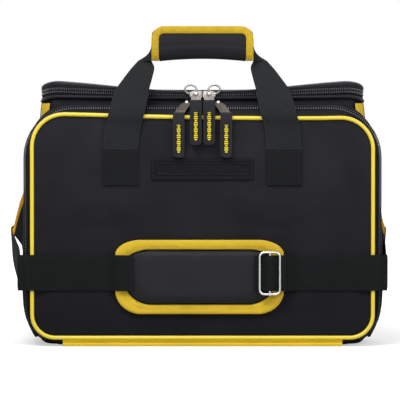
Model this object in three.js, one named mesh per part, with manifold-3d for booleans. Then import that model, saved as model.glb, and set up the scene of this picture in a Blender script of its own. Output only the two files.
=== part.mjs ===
// A zippered tool bag: open-topped sewn body with a zipped lid, a fold-down front compartment,
// a pair of webbing handles and a shoulder strap. Millimetres, +Z up, the front faces -Y.
import * as THREE from 'three';
import { mergeVertices } from 'three/addons/utils/BufferGeometryUtils.js';
import Module from 'manifold-3d';

const wasm = await Module();
wasm.setup();

// Driving dimensions
const seat = 0.3; // running gap between touching pieces
const bodyHalfTop = 193; // half width of the main compartment at its rim
const bodyHalfBase = 201; // half width of the main compartment at the floor
const bodyFront = -74;
const bodyBack = 100;
const bodyCorner = 26;
const bodyRim = 298;
const bodyWall = 4;
const floorThick = 3;
const boardThick = 3;
const bindingWide = 10; // flat width of the bindings on the front corners
const bandOver = 3; // how far the lid band stands proud of the wall
const bandWelt = 5;
const lidPart = 309; // height of the lid's zip line at the bag's ends
const lidPartSag = 5;
const lidThick = 10;
const lidTopSag = 3.5;
const podHalf = 214; // half width of the front compartment at its zip
const podTop = 287;
const podBottom = 1;
const podCornerTop = 48;
const podCornerBottom = 34;
const podZip = -87; // where the front compartment's zip runs
const faceY = -100;
const faceDraw = 7; // how far the panel's face stands in from its zip
const faceHalf = podHalf - faceDraw;
const faceTop = podTop - faceDraw - 1;
const faceBottom = podBottom + faceDraw;
const faceCornerTop = 41;
const faceCornerBottom = 30;
const gussetThick = 2.5;
const faceThick = 4;
const pipingRadius = 2.4;
const tapeWidth = 3.5;
const tapeThick = 1.4;
const strapWidth = 43;
const webbing = 1.8;
const strapX = 98; // centre of each stitched handle strap
const strapBottom = 194;
const strapStitched = 43; // how far below the panel's top the handle straps leave their stitching
const strapFree = faceTop - strapStitched;
const gripHalf = 61;
const gripLow = 341;
const gripHigh = 384;
const gripDepth = 24;
const gripY = -92;
const gripRise = 4;
const labelHalf = 61;
const labelLow = 200;
const labelHigh = 225;
const labelThick = 1.6;
const runZ = 88.5; // middle height of the shoulder strap across the front
const padHalf = 101;
const padCentre = -3.5;
const padLow = 39;
const padHigh = 128;
const padThick = 10;
const runLeftEnd = -82;
const buckleX = 80.5;
const buckleWide = 27;
const buckleTall = 53;
const buckleWire = 3;
const pocketFront = -56;
const pocketBack = 22;
const pocketOuts = { left: 34, right: 24 }; // how far each side pocket's mouth stands out
const pocketFoot = 20;
const pocketTop = 200;
const pocketMouth = 138;
const pocketFlare = 18; // height over which the pocket widens to its mouth
const pocketWall = 2.5;
const pocketRim = 8;
const ringZ = 234;
const ringY = 48;
const ringOut = 16; // how far the tab holds the ring from the bag's side
const ringWire = 3.6;
const ringWide = 46;
const ringTall = 26;
const strapBulge = 6.5; // how far the shoulder strap stands out past each side pocket's mouth
const rimSag = 2;
const sliderLong = 15;
const sliderWide = 9;
const sliderThick = 2.6;
const crownTall = 6.8;
const linkWide = 12;
const linkThick = 1.2;
const linkRim = 0.8; // how far the link's side rims stand up
const pullLong = 54;
const pullWide = 14;
const pullThick = 3.8;
const lidSliderX = 8;
const podSliderX = 19;
const podPullX = 28.5;

const group = new THREE.Group();
group.name = 'zippered_tool_bag';

const finish = {
  cloth: { color: 0x28282d, roughness: 0.9, metalness: 0 },
  lining: { color: 0x1c1c20, roughness: 0.95, metalness: 0 },
  trim: { color: 0xe3c432, roughness: 0.6, metalness: 0 },
  webbing: { color: 0x1e2020, roughness: 0.85, metalness: 0 },
  rubber: { color: 0x2a2a30, roughness: 0.7, metalness: 0 },
  steel: { color: 0xb9b4ae, roughness: 0.35, metalness: 1 },
  zip: { color: 0x18181b, roughness: 0.6, metalness: 0 },
  board: { color: 0x141416, roughness: 0.7, metalness: 0 },
};

function addPiece(name, geometry, look, place = [0, 0, 0], turn = [0, 0, 0]) {
  const mesh = new THREE.Mesh(geometry, new THREE.MeshStandardMaterial(finish[look]));
  mesh.name = name;
  mesh.position.set(...place);
  mesh.rotation.set(...turn);
  group.add(mesh);
  return mesh;
}

// Booleans

function solid(geometry) {
  const bare = geometry.clone();
  bare.deleteAttribute('normal');
  bare.deleteAttribute('uv');
  const merged = mergeVertices(bare, 1e-4);
  const triVerts = new Uint32Array(merged.index.array);
  const vertProperties = new Float32Array(merged.attributes.position.array);
  return new wasm.Manifold(new wasm.Mesh({ numProp: 3, vertProperties, triVerts }));
}

function geometryOf(body) {
  const mesh = body.getMesh();
  const geometry = new THREE.BufferGeometry();
  geometry.setAttribute('position', new THREE.BufferAttribute(new Float32Array(mesh.vertProperties), 3));
  geometry.setIndex(new THREE.BufferAttribute(new Uint32Array(mesh.triVerts), 1));
  return geometry;
}

function cut(base, ...tools) {
  let body = solid(base);
  for (const tool of tools) body = body.subtract(solid(tool));
  return geometryOf(body);
}

function join(base, ...others) {
  let body = solid(base);
  for (const other of others) body = body.add(solid(other));
  return geometryOf(body);
}

function block(x0, x1, y0, y1, z0, z1) {
  const geometry = new THREE.BoxGeometry(x1 - x0, y1 - y0, z1 - z0);
  return geometry.translate((x0 + x1) / 2, (y0 + y1) / 2, (z0 + z1) / 2);
}

// A closed skin through rings of points that all have the same count. Rings run counter-clockwise
// seen from the side that the loft heads towards.
function loft(rings) {
  const count = rings[0].length;
  const points = rings.flat();
  const index = [];
  for (let r = 0; r + 1 < rings.length; r += 1) {
    for (let i = 0; i < count; i += 1) {
      const a = r * count + i;
      const b = r * count + ((i + 1) % count);
      index.push(a, b, b + count, a, b + count, a + count);
    }
  }
  const last = (rings.length - 1) * count;
  const flat = (ring) => THREE.ShapeUtils.triangulateShape(planar(ring), []);
  for (const [a, b, c] of flat(rings[0])) index.push(a, c, b);
  for (const [a, b, c] of flat(rings[rings.length - 1])) index.push(last + a, last + b, last + c);
  const geometry = new THREE.BufferGeometry();
  const values = new Float32Array(points.flatMap((p) => [p.x, p.y, p.z]));
  geometry.setAttribute('position', new THREE.BufferAttribute(values, 3));
  geometry.setIndex(index);
  return geometry;
}

// The ring's points in its own plane, for closing a loft's end
function planar(ring) {
  const centre = ring.reduce((sum, p) => sum.add(p), new THREE.Vector3()).divideScalar(ring.length);
  const normal = new THREE.Vector3();
  ring.forEach((p, i) => {
    const q = ring[(i + 1) % ring.length];
    normal.add(p.clone().sub(centre).cross(q.clone().sub(centre)));
  });
  normal.normalize();
  const across = ring[0].clone().sub(centre).normalize();
  const up = normal.clone().cross(across);
  return ring.map((p) => {
    const d = p.clone().sub(centre);
    return new THREE.Vector2(d.dot(across), d.dot(up));
  });
}

// Outline of a rounded rectangle, with its own radius at the upper and lower corners
function roundedOutline(x0, x1, y0, y1, lower, upper, steps = 6) {
  const points = [];
  const corner = (cx, cy, radius, start) => {
    for (let i = 0; i <= steps; i += 1) {
      const angle = start + (i / steps) * (Math.PI / 2);
      points.push(new THREE.Vector2(cx + radius * Math.cos(angle), cy + radius * Math.sin(angle)));
    }
  };
  corner(x1 - upper, y1 - upper, upper, 0);
  corner(x0 + upper, y1 - upper, upper, Math.PI / 2);
  corner(x0 + lower, y0 + lower, lower, Math.PI);
  corner(x1 - lower, y0 + lower, lower, Math.PI * 1.5);
  return points;
}

function extrude(outline, depth, holes = []) {
  const shape = new THREE.Shape(outline);
  for (const hole of holes) shape.holes.push(new THREE.Path(hole));
  return new THREE.ExtrudeGeometry(shape, { depth, bevelEnabled: false });
}

// An outline drawn in X and Z, given a thickness from yNear (front) back to yFar
function upright(outline, yNear, yFar, holes = []) {
  const geometry = extrude(outline, yFar - yNear, holes);
  return geometry.rotateX(Math.PI / 2).translate(0, yFar, 0);
}

// A strip of even thickness along a path of 2D points, as its closed outline
function stripOutline(path, thick) {
  const sides = [[], []];
  path.forEach((p, i) => {
    const before = path[Math.max(i - 1, 0)];
    const after = path[Math.min(i + 1, path.length - 1)];
    const run = after.clone().sub(before).normalize();
    const normal = new THREE.Vector2(-run.y, run.x);
    sides[0].push(p.clone().addScaledVector(normal, -thick / 2));
    sides[1].push(p.clone().addScaledVector(normal, thick / 2));
  });
  return [...sides[0], ...sides[1].reverse()];
}

// A flat ribbon through sections of {at, across, out, wide}: centre, width and thickness directions
function ribbon(sections, thick) {
  const [first, second] = sections;
  const heading = second.at.clone().sub(first.at);
  const turn = first.across.clone().cross(first.out).dot(heading) < 0 ? -1 : 1;
  return loft(sections.map(({ at, across, out, wide }) => {
    const w = across.clone().normalize().multiplyScalar(wide / 2);
    const t = out.clone().normalize().multiplyScalar((turn * thick) / 2);
    return [[-1, -1], [1, -1], [1, 1], [-1, 1]].map(
      ([a, b]) => at.clone().addScaledVector(w, a).addScaledVector(t, b),
    );
  }));
}

const vec = (x, y, z) => new THREE.Vector3(x, y, z);

// A closed round bar along a closed flat path; flat is the unit vector square to the path's plane
function closedTube(path, flat, radius, sides = 8) {
  const count = path.length;
  const index = [];
  const values = [];
  path.forEach((p, i) => {
    const run = path[(i + 1) % count].clone().sub(path[(i + count - 1) % count]).normalize();
    const side = run.clone().cross(flat).normalize();
    for (let k = 0; k < sides; k += 1) {
      const angle = (k / sides) * Math.PI * 2;
      const at = p.clone().addScaledVector(side, radius * Math.cos(angle));
      at.addScaledVector(flat, -radius * Math.sin(angle));
      values.push(at.x, at.y, at.z);
      const a = i * sides + k;
      const b = i * sides + ((k + 1) % sides);
      const c = ((i + 1) % count) * sides + ((k + 1) % sides);
      const d = ((i + 1) % count) * sides + k;
      index.push(a, b, c, a, c, d);
    }
  });
  const geometry = new THREE.BufferGeometry();
  geometry.setAttribute('position', new THREE.BufferAttribute(new Float32Array(values), 3));
  geometry.setIndex(index);
  return geometry;
}

function mirrored(geometry) {
  const copy = mergeVertices(geometry.clone(), 1e-5);
  copy.scale(-1, 1, 1);
  const index = Array.from(copy.index.array);
  for (let i = 0; i < index.length; i += 3) [index[i], index[i + 1]] = [index[i + 1], index[i]];
  copy.setIndex(index);
  return copy;
}

// Main compartment

const sag = (x) => Math.max(0, 1 - (x / bodyHalfTop) ** 2);
const rimZ = (x) => bodyRim - rimSag * sag(x);
const partZ = (x) => lidPart - lidPartSag * sag(x);
const topZ = (x) => partZ(x) + lidThick - lidTopSag * sag(x);
const sideX = (z) => bodyHalfBase + (bodyHalfTop - bodyHalfBase) * (z / bodyRim);

// One level of the main compartment seen from above, grown by grow, at height(x)
function planRing(half, grow, height) {
  const radius = Math.max(bodyCorner + grow, 0.8);
  const [x1, y0, y1] = [half + grow, bodyFront - grow, bodyBack + grow];
  const corners = roundedOutline(-x1, x1, y0, y1, radius, radius, 5);
  const points = [];
  const divisions = 10;
  corners.forEach((p, i) => {
    points.push(p);
    const next = corners[(i + 1) % corners.length];
    if (Math.abs(next.x - p.x) < radius * 2) return;
    for (let k = 1; k < divisions; k += 1) points.push(p.clone().lerp(next, k / divisions));
  });
  return points.map((p) => vec(p.x, p.y, height(p.x)));
}

const collapse = -(bodyBack - bodyFront) / 2 + 1; // inset that closes a level to a narrow strip

function mainShell() {
  const outer = loft([
    planRing(bodyHalfBase, -6, () => 0),
    planRing(bodyHalfBase, 0, () => 6),
    planRing(bodyHalfTop, 0, rimZ),
    planRing(bodyHalfTop, collapse, rimZ),
  ]);
  const inner = loft([
    planRing(bodyHalfBase, -bodyWall, () => floorThick),
    planRing(bodyHalfTop, -bodyWall, () => bodyRim + 20),
  ]);
  return cut(outer, inner);
}

function ringShell(levels, innerGrow, low, high) {
  const outer = loft(levels.map(([grow, height]) => planRing(bodyHalfTop, grow, height)));
  const inner = loft([
    planRing(bodyHalfTop, innerGrow, () => low),
    planRing(bodyHalfTop, innerGrow, () => high),
  ]);
  return cut(outer, inner);
}

function lidBand() {
  const above = (rise) => (x) => rimZ(x) + rise;
  const levels = [
    [collapse, above(seat)],
    [1, above(seat)],
    [bandOver + 1, above(1.5)],
    [bandOver + 1, above(bandWelt - 1)],
    [bandOver - 1, above(bandWelt)],
    [bandOver - 1, (x) => partZ(x) - seat / 2],
    [collapse, (x) => partZ(x) - seat / 2],
  ];
  return ringShell(levels, -bodyWall, bodyRim - 40, bodyRim + 40);
}

function lid() {
  const over = (rise) => (x) => partZ(x) + seat / 2 + rise;
  const under = (drop) => (x) => topZ(x) - drop;
  return loft([
    planRing(bodyHalfTop, collapse, over(0)),
    planRing(bodyHalfTop, bandOver - 1, over(0)),
    planRing(bodyHalfTop, bandOver - 1, over(3.4)),
    planRing(bodyHalfTop, bandOver, over(4)),
    planRing(bodyHalfTop, bandOver - 0.6, under(2.2)),
    planRing(bodyHalfTop, bandOver - 5, under(0.7)),
    planRing(bodyHalfTop, bandOver - 12, under(0)),
    planRing(bodyHalfTop, collapse, under(0)),
  ]);
}

function cornerBinding() {
  const lean = vec(-Math.SQRT1_2, -Math.SQRT1_2, 0);
  const stand = bodyCorner + seat + tapeThick / 2;
  const low = floorThick + 5;
  const high = bodyRim - 6;
  const sections = [0, 1 / 3, 2 / 3, 1].map((share) => low + share * (high - low)).map((z) => ({
    at: vec(-sideX(z) + bodyCorner, bodyFront + bodyCorner, z).addScaledVector(lean, stand),
    across: vec(Math.SQRT1_2, -Math.SQRT1_2, 0),
    out: lean,
    wide: bindingWide,
  }));
  return ribbon(sections, tapeThick);
}

addPiece('main_shell', mainShell(), 'cloth');
addPiece('lid_zip_band', lidBand(), 'zip');
addPiece('lid', lid(), 'cloth');
addPiece('corner_binding_left', cornerBinding(), 'trim');
addPiece('corner_binding_right', mirrored(cornerBinding()), 'trim');

const boardGap = 1;
const boardHalf = sideX(floorThick) - bodyWall - boardGap - 1;
addPiece('base_board', block(
  -boardHalf + 14, boardHalf - 14, bodyFront + bodyWall + boardGap, bodyBack - bodyWall - boardGap,
  floorThick + seat, floorThick + seat + boardThick,
), 'board');

const dividerY = 22;
const dividerThick = 5;
const dividerTop = 236;
function toolDivider() {
  const low = floorThick + boardThick + 2 * seat;
  const halfAt = (z) => sideX(z) - bodyWall - seat;
  const outline = [
    new THREE.Vector2(-halfAt(low), low), new THREE.Vector2(halfAt(low), low),
    new THREE.Vector2(halfAt(dividerTop), dividerTop), new THREE.Vector2(-halfAt(dividerTop), dividerTop),
  ];
  return upright(outline, dividerY - dividerThick / 2, dividerY + dividerThick / 2);
}
addPiece('tool_divider', toolDivider(), 'lining');

// Front compartment: a fixed tray on the bag and a panel that folds down, zipped round three sides

// One level of the front compartment seen from the front, at depth y and inset by inset
function podRing(y, half, bottom, top, inset = 0) {
  const outline = roundedOutline(
    -half + inset, half - inset, bottom + inset, top - inset,
    podCornerBottom - inset, podCornerTop - inset, 6,
  );
  return outline.map((p) => vec(p.x, y, p.y));
}

const zipEnd = podHalf - podCornerBottom - 12; // where the zip stops at the bottom corners
const trayBack = bodyFront - seat;
const floorTop = podBottom + gussetThick;

function frontTray() {
  const outer = loft([podRing(trayBack, podHalf, podBottom, podTop),
    podRing(podZip + seat / 2, podHalf, podBottom, podTop)]);
  const inner = loft([podRing(trayBack - gussetThick, podHalf, podBottom, podTop, gussetThick),
    podRing(podZip - tapeWidth, podHalf, podBottom, podTop, gussetThick)]);
  return cut(outer, inner);
}

const pipingY = faceY - 0.8;
function pipingLoop(grow) {
  const outline = roundedOutline(
    -faceHalf + pipingRadius, faceHalf - pipingRadius, faceBottom + pipingRadius, faceTop - pipingRadius,
    faceCornerBottom - pipingRadius, faceCornerTop - pipingRadius, 7,
  );
  const path = outline.map((p) => vec(p.x, pipingY, p.y));
  return closedTube(path, vec(0, -1, 0), pipingRadius + grow);
}

function frontPanel() {
  const rear = podZip - seat / 2;
  const outer = loft([
    podRing(rear, podHalf, podBottom, podTop),
    podRing(rear - tapeWidth, podHalf, podBottom, podTop),
    podRing(faceY + 6, podHalf, podBottom + 0.5, podTop - 1.5),
    podRing(faceY + 3.5, podHalf - 1, podBottom + 2, podTop - 4),
    podRing(faceY, faceHalf, faceBottom - 3, faceTop + 1),
  ]);
  const inner = loft([
    podRing(rear + 5, podHalf, podBottom, podTop, gussetThick),
    podRing(faceY + faceThick, podHalf - 3, podBottom + 3, podTop - 3, gussetThick),
  ]);
  const openBottom = block(-zipEnd, zipEnd, faceY + faceThick - 0.5, podZip + 10, podBottom - 5, faceBottom);
  const openFoot = block(-zipEnd, zipEnd, faceY - 5, podZip + 10, podBottom - 5, faceBottom - 3);
  return cut(outer, inner, openBottom, openFoot, pipingLoop(seat));
}

const tapeFoot = podBottom + 2.5; // the tapes start above the panel's hinge line
function tapeRing(y0, y1) {
  const grown = (grow) => roundedOutline(
    -podHalf - grow, podHalf + grow, podBottom - grow, podTop + grow,
    podCornerBottom + grow, podCornerTop + grow, 6,
  );
  const ring = upright(grown(seat + tapeThick), y0, y1, [grown(seat)]);
  const foot = block(-podHalf, podHalf, y0 - 1, y1 + 1, podBottom - 10, tapeFoot);
  return cut(ring, foot, block(-zipEnd, zipEnd, y0 - 1, y1 + 1, podBottom - 10, podBottom + 10));
}

function frontFloor() {
  return block(-zipEnd + seat, zipEnd - seat, faceY + faceThick, podZip - seat, podBottom, floorTop);
}

const stripRear = faceY + faceThick - seat;
const stripTop = faceBottom - 3 - seat;

addPiece('front_tray', frontTray(), 'cloth');
addPiece('front_floor', frontFloor(), 'cloth');
addPiece('front_hinge_strip', block(-zipEnd, zipEnd, faceY, stripRear, seat, stripTop), 'trim');
addPiece('front_panel', frontPanel(), 'cloth');
addPiece('piping', pipingLoop(0), 'trim');
addPiece('front_zip_rear', tapeRing(podZip + seat / 2, podZip + seat / 2 + tapeWidth), 'zip');
addPiece('front_zip_front', tapeRing(podZip - seat / 2 - tapeWidth, podZip - seat / 2), 'zip');

// Sewn to the panel's face
const patchRear = faceY - seat;
addPiece('label_patch', upright(
  roundedOutline(-labelHalf, labelHalf, labelLow, labelHigh, 1.5, 1.5, 3), patchRear - labelThick, patchRear,
), 'rubber');

function strapEnd(x) {
  return upright(
    roundedOutline(x - strapWidth / 2, x + strapWidth / 2, strapBottom, strapFree - seat / 2, 0.6, 0.6, 1),
    patchRear - webbing, patchRear,
  );
}
addPiece('handle_strap_end_left', strapEnd(-strapX), 'webbing');
addPiece('handle_strap_end_right', strapEnd(strapX), 'webbing');

// Strap pad across the front: crowned, with a bound edge
const padRear = patchRear;
const padFront = padRear - padThick;
const padBinding = 9;
function padOutline(inset) {
  const [x0, x1] = [padCentre - padHalf + inset, padCentre + padHalf - inset];
  const slope = 22;
  const drop = 13;
  const [z0, z1] = [padLow + inset, padHigh - inset];
  const corners = [[x1, z0 + drop, x1, z1 - drop], [x1 - slope, z1, x0 + slope, z1],
    [x0, z1 - drop, x0, z0 + drop], [x0 + slope, z0, x1 - slope, z0]];
  const points = [];
  corners.forEach(([ax, az, bx, bz], i) => {
    const [nx, nz] = corners[(i + 1) % 4];
    points.push(new THREE.Vector2(ax, az), new THREE.Vector2(bx, bz));
    const bend = new THREE.Vector2(i % 2 ? nx : bx, i % 2 ? bz : nz);
    const arc = new THREE.QuadraticBezierCurve(
      new THREE.Vector2(bx, bz), bend.lerp(new THREE.Vector2((bx + nx) / 2, (bz + nz) / 2), 0.35),
      new THREE.Vector2(nx, nz),
    );
    points.push(...arc.getPoints(4).slice(1, 4));
  });
  return points;
}
function strapPad() {
  const level = (y, inset) => padOutline(inset).map((p) => vec(p.x, y, p.y));
  return loft([level(padRear, padBinding + seat), level(padFront + 2, padBinding + seat),
    level(padFront, padBinding + 6)]);
}
function padEdge() {
  const outer = padOutline(0);
  return upright(outer, padRear - 6, padRear, [padOutline(padBinding)]);
}
addPiece('strap_pad', strapPad(), 'cloth');
addPiece('strap_pad_binding', padEdge(), 'trim');

// Shoulder strap: front runs over the pad, slide buckle, side runs up to the hooks
const runFlatY = patchRear - webbing / 2;
const runOverPiping = pipingY - pipingRadius - seat - webbing / 2;
const runOverPad = padFront - seat - webbing / 2;
const runSplit = podHalf - 1;
const runLow = runZ - strapWidth / 2;

function frontRun(padEnd) {
  const edge = padHalf + Math.abs(padCentre);
  const path = [[runSplit, runOverPiping], [faceHalf - 12, runOverPiping], [faceHalf - 28, runFlatY],
    [edge + 12, runFlatY], [edge - 8, runOverPad], [padEnd, runOverPad]];
  const outline = stripOutline(path.map(([x, y]) => new THREE.Vector2(x, y)), webbing);
  return extrude(outline, strapWidth).translate(0, 0, runLow);
}
addPiece('strap_run_left', mirrored(frontRun(-runLeftEnd)), 'webbing');
addPiece('strap_run_right', frontRun(buckleX - 18), 'webbing');

const bucklePlane = runOverPad - webbing * 1.5 - seat * 2 - buckleWire / 2;
function slideBuckle() {
  const half = buckleWide / 2 - buckleWire / 2;
  const tall = buckleTall / 2 - buckleWire / 2;
  const frame = roundedOutline(buckleX - half, buckleX + half, runZ - tall, runZ + tall, 5, 5, 4);
  const loop = closedTube(frame.map((p) => vec(p.x, bucklePlane, p.y)), vec(0, -1, 0), buckleWire / 2);
  const bar = new THREE.CylinderGeometry(buckleWire / 2, buckleWire / 2, buckleTall + 1, 10);
  bar.rotateX(Math.PI / 2).translate(buckleX, bucklePlane, runZ);
  return join(loop, bar);
}
addPiece('slide_buckle', slideBuckle(), 'steel');

function buckleLoop() {
  const under = runOverPad - webbing - seat;
  const over = bucklePlane - buckleWire / 2 - seat - webbing / 2 - 0.2;
  const reach = buckleWide / 2 + 5.5;
  const inner = buckleWide / 2 - buckleWire - 2;
  const bar = buckleWire / 2 + webbing + 0.1;
  const path = [[-reach, under], [-inner, under], [-bar, over], [bar, over], [inner, under], [reach, under]];
  const outline = stripOutline(path.map(([x, y]) => new THREE.Vector2(buckleX + x, y)), webbing);
  return extrude(outline, strapWidth - 1).translate(0, 0, runLow + 0.5);
}
addPiece('buckle_webbing', buckleLoop(), 'webbing');

// Carrying handles. place turns (x, distance out from the bag, height above the stitching) into a point
const strapSteps = [
  // [x, height, width, tilt of the width]
  [strapX, seat / 2, 43, 0], [95.7, 26, 43, 0], [92, 40, 43, 0], [88.5, 55, 42, 0], [84, 72, 39, 0],
  [80, 85, 35, 0.1], [75, 97, 30, 0.35], [71, 108, 25, 0.9], [gripHalf + seat, 118, 24, Math.PI / 2],
];
const frontOuts = [0, 2, 5.4, 4.2, 0, -4, -6.5, -8, -9.2].map((out) => -runFlatY + out);
const rearStart = bodyBack + 2 * seat + webbing * 1.5;
const rearOuts = [0, 0.4, 0.8, 2, 4, 6, 8, 9.5, 11].map((out) => rearStart + out);

function handleStrap(place, outs) {
  return ribbon(strapSteps.map(([x, up, wide, tilt], i) => {
    const at = place(x, outs[i], up);
    const across = place(x + Math.cos(tilt), outs[i], up - Math.sin(tilt)).sub(at);
    return { at, across, out: place(x, outs[i] + 1, up).sub(at), wide };
  }), webbing);
}

const gripUp = gripLow - strapFree;
const gripTall = gripHigh - gripLow;
function gripCore(place, middle) {
  const stations = [-1, -0.97, -0.8, -0.4, 0, 0.4, 0.8, 0.97, 1];
  return loft(stations.map((u) => {
    const shrink = Math.abs(u) > 0.98 ? 2 : 0;
    const low = gripUp + 1 + gripRise * (1 - u * u) + shrink;
    const deep = gripDepth / 2 - shrink;
    const outline = roundedOutline(-deep, deep, low, gripUp + gripTall - 1 - shrink, 8, 8, 3);
    return outline.map((p) => place(u * gripHalf, middle + p.x, p.y)).reverse();
  }));
}

const frontPlace = (x, out, up) => vec(x, -out, strapFree + up);
const rearPlace = (x, out, up) => vec(x, out, strapFree - up);
addPiece('handle_strap_left', mirrored(handleStrap(frontPlace, frontOuts)), 'webbing');
addPiece('handle_strap_right', handleStrap(frontPlace, frontOuts), 'webbing');
addPiece('grip_sleeve', gripCore(frontPlace, -gripY), 'cloth');

const flapRear = gripY - gripDepth / 2 - seat;
const flapThick = 2.4;
const flapBound = 9;
function flapOutline(inset, foot) {
  const top = roundedOutline(
    -gripHalf + inset, gripHalf - inset, gripLow - foot, gripHigh - inset, 0.5, 9 - inset / 2, 5,
  );
  return top;
}
function gripFlap() {
  const inner = flapOutline(flapBound + seat, 0);
  const arch = Array.from({ length: 9 }, (_, i) => {
    const x = (i / 4 - 1) * (gripHalf + 2);
    return new THREE.Vector2(x, gripLow + gripRise * (1 - (x / gripHalf) ** 2));
  });
  const below = [new THREE.Vector2(gripHalf + 2, gripLow - 20), ...arch.reverse().concat(
    new THREE.Vector2(-gripHalf - 2, gripLow - 20),
  )];
  const trimmed = upright(below.reverse(), flapRear - 9, flapRear + 3);
  return cut(upright(inner, flapRear - flapThick, flapRear), trimmed);
}
addPiece('grip_flap', gripFlap(), 'cloth');
addPiece('grip_flap_binding', cut(
  upright(flapOutline(0, 0), flapRear - flapThick, flapRear),
  upright(flapOutline(flapBound, 6), flapRear - 9, flapRear + 3),
), 'trim');

function rearStrapEnd(x) {
  return upright(
    roundedOutline(x - strapWidth / 2, x + strapWidth / 2, strapBottom, strapFree, 0.6, 0.6, 1),
    bodyBack + seat, bodyBack + seat + webbing,
  );
}
addPiece('rear_strap_end_left', rearStrapEnd(-strapX), 'webbing');
addPiece('rear_strap_end_right', rearStrapEnd(strapX), 'webbing');
addPiece('rear_strap_left', mirrored(handleStrap(rearPlace, rearOuts)), 'webbing');
addPiece('rear_strap_right', handleStrap(rearPlace, rearOuts), 'webbing');
const rearGripMiddle = bodyBack + seat + gripDepth / 2 + 1;
addPiece('rear_grip', gripCore(rearPlace, rearGripMiddle), 'cloth');

// Side pockets with a slanted, bound mouth. Built on the right, mirrored to the left.
function pocketLevels(out, inset, low, high) {
  const level = (z, reach) => {
    const near = sideX(z) + seat + (inset ? inset : 0);
    return roundedOutline(near, near + reach - 2 * inset, pocketFront + inset, pocketBack - inset, 3, 3, 2)
      .map((p) => vec(p.x, p.y, z));
  };
  const middle = pocketMouth - pocketFlare;
  return loft([level(low, pocketFoot - 6), level(low + 12, pocketFoot), level(middle, pocketFoot),
    level(pocketMouth, out), level(high, out)]);
}
function pocketShell(out) {
  const inner = pocketLevels(out, pocketWall, 11, pocketTop + 30);
  return cut(pocketLevels(out, 0, 8, pocketTop + 20), inner);
}
function mouthCut(out, rise) {
  const near = sideX(pocketTop);
  const outline = [[near - 30, pocketTop + rise + 42], [near + out + 30, pocketMouth + rise - 42],
    [near + out + 30, pocketTop + 120], [near - 30, pocketTop + 120]];
  const deep = 2 * (bodyBack - bodyFront);
  const shape = extrude(outline.map(([x, z]) => new THREE.Vector2(x, z)), deep);
  return shape.rotateX(Math.PI / 2).translate(0, deep / 2, 0);
}
function sidePocket(out) {
  return cut(pocketShell(out), mouthCut(out, -pocketRim));
}
function pocketBinding(out) {
  const body = solid(pocketShell(out)).intersect(solid(mouthCut(out, -pocketRim + seat)));
  return geometryOf(body.subtract(solid(mouthCut(out, 0))));
}
addPiece('side_pocket_left', mirrored(sidePocket(pocketOuts.left)), 'cloth');
addPiece('side_pocket_right', sidePocket(pocketOuts.right), 'cloth');
addPiece('side_pocket_binding_left', mirrored(pocketBinding(pocketOuts.left)), 'trim');
addPiece('side_pocket_binding_right', pocketBinding(pocketOuts.right), 'trim');

// D-rings on webbing tabs, and the shoulder strap's swivel hooks. Built on the right.
const hookWire = 1.7;
const hookHalf = 15;
const hookTop = ringZ - ringTall + ringWire / 2 + seat + hookWire;
const hookFoot = hookTop - 2 * hookHalf;
const barrelLong = 10;
const eyeTop = hookFoot - barrelLong;
const eyeTall = 14;
const eyeFoot = eyeTop - eyeTall;
const ringX = Math.max(sideX(ringZ), sideX(eyeFoot)) + ringOut; // clear of the side all the way down
const tabTop = ringZ + 28;
const tabHalf = strapWidth / 2 - 3;
function ringTab() {
  const near = Math.max(sideX(ringZ), sideX(tabTop)) + seat + webbing / 2 + 0.4;
  const far = near + webbing + seat;
  const round = ringWire / 2 + seat + webbing / 2;
  const turn = Array.from({ length: 9 }, (_, i) => {
    const angle = Math.PI + (i / 8) * Math.PI;
    return [ringX + round * Math.cos(angle), ringZ + round * Math.sin(angle)];
  });
  const path = [[near, tabTop], [near, ringZ + 13], [ringX - round, ringZ + 4], ...turn,
    [ringX + round, ringZ + 4], [far + 0.2, ringZ + 15], [far, tabTop]];
  const outline = stripOutline(path.map(([x, z]) => new THREE.Vector2(x, z)), webbing);
  return upright(outline, ringY - tabHalf, ringY + tabHalf);
}
function dRing() {
  const half = ringWide / 2;
  const path = [[half - 3, 0], [-half + 3, 0]];
  for (let i = 0; i <= 12; i += 1) {
    const angle = Math.PI + (i / 12) * Math.PI;
    path.push([half * Math.cos(angle), -4 + (ringTall - 4) * Math.sin(angle)]);
  }
  return closedTube(path.map(([y, z]) => vec(ringX, ringY + y, ringZ + z)), vec(1, 0, 0), ringWire / 2);
}
function swivelHook() {
  const round = 5.2;
  const oval = roundedOutline(ringX - round, ringX + round, hookFoot, hookTop, round, round, 4)
    .slice(0, -1).map((p) => vec(p.x, ringY, p.y));
  const loop = closedTube(oval, vec(0, -1, 0), hookWire);
  const profile = [[0, 0], [4.2, 0], [4.2, 5], [2.6, 6], [2.6, 7], [3.6, 8], [3.6, 11], [0, 11]];
  const barrel = new THREE.LatheGeometry(profile.map(([r, z]) => new THREE.Vector2(r, z)), 14);
  barrel.rotateX(Math.PI / 2).translate(ringX, ringY, eyeTop - 1);
  const half = strapWidth / 2 + 2.6;
  const eye = roundedOutline(ringY - half, ringY + half, eyeFoot, eyeTop, 3, 3, 3);
  const frame = closedTube(eye.map((p) => vec(ringX, p.x, p.y)), vec(1, 0, 0), hookWire);
  return join(loop, barrel, frame);
}
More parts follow.
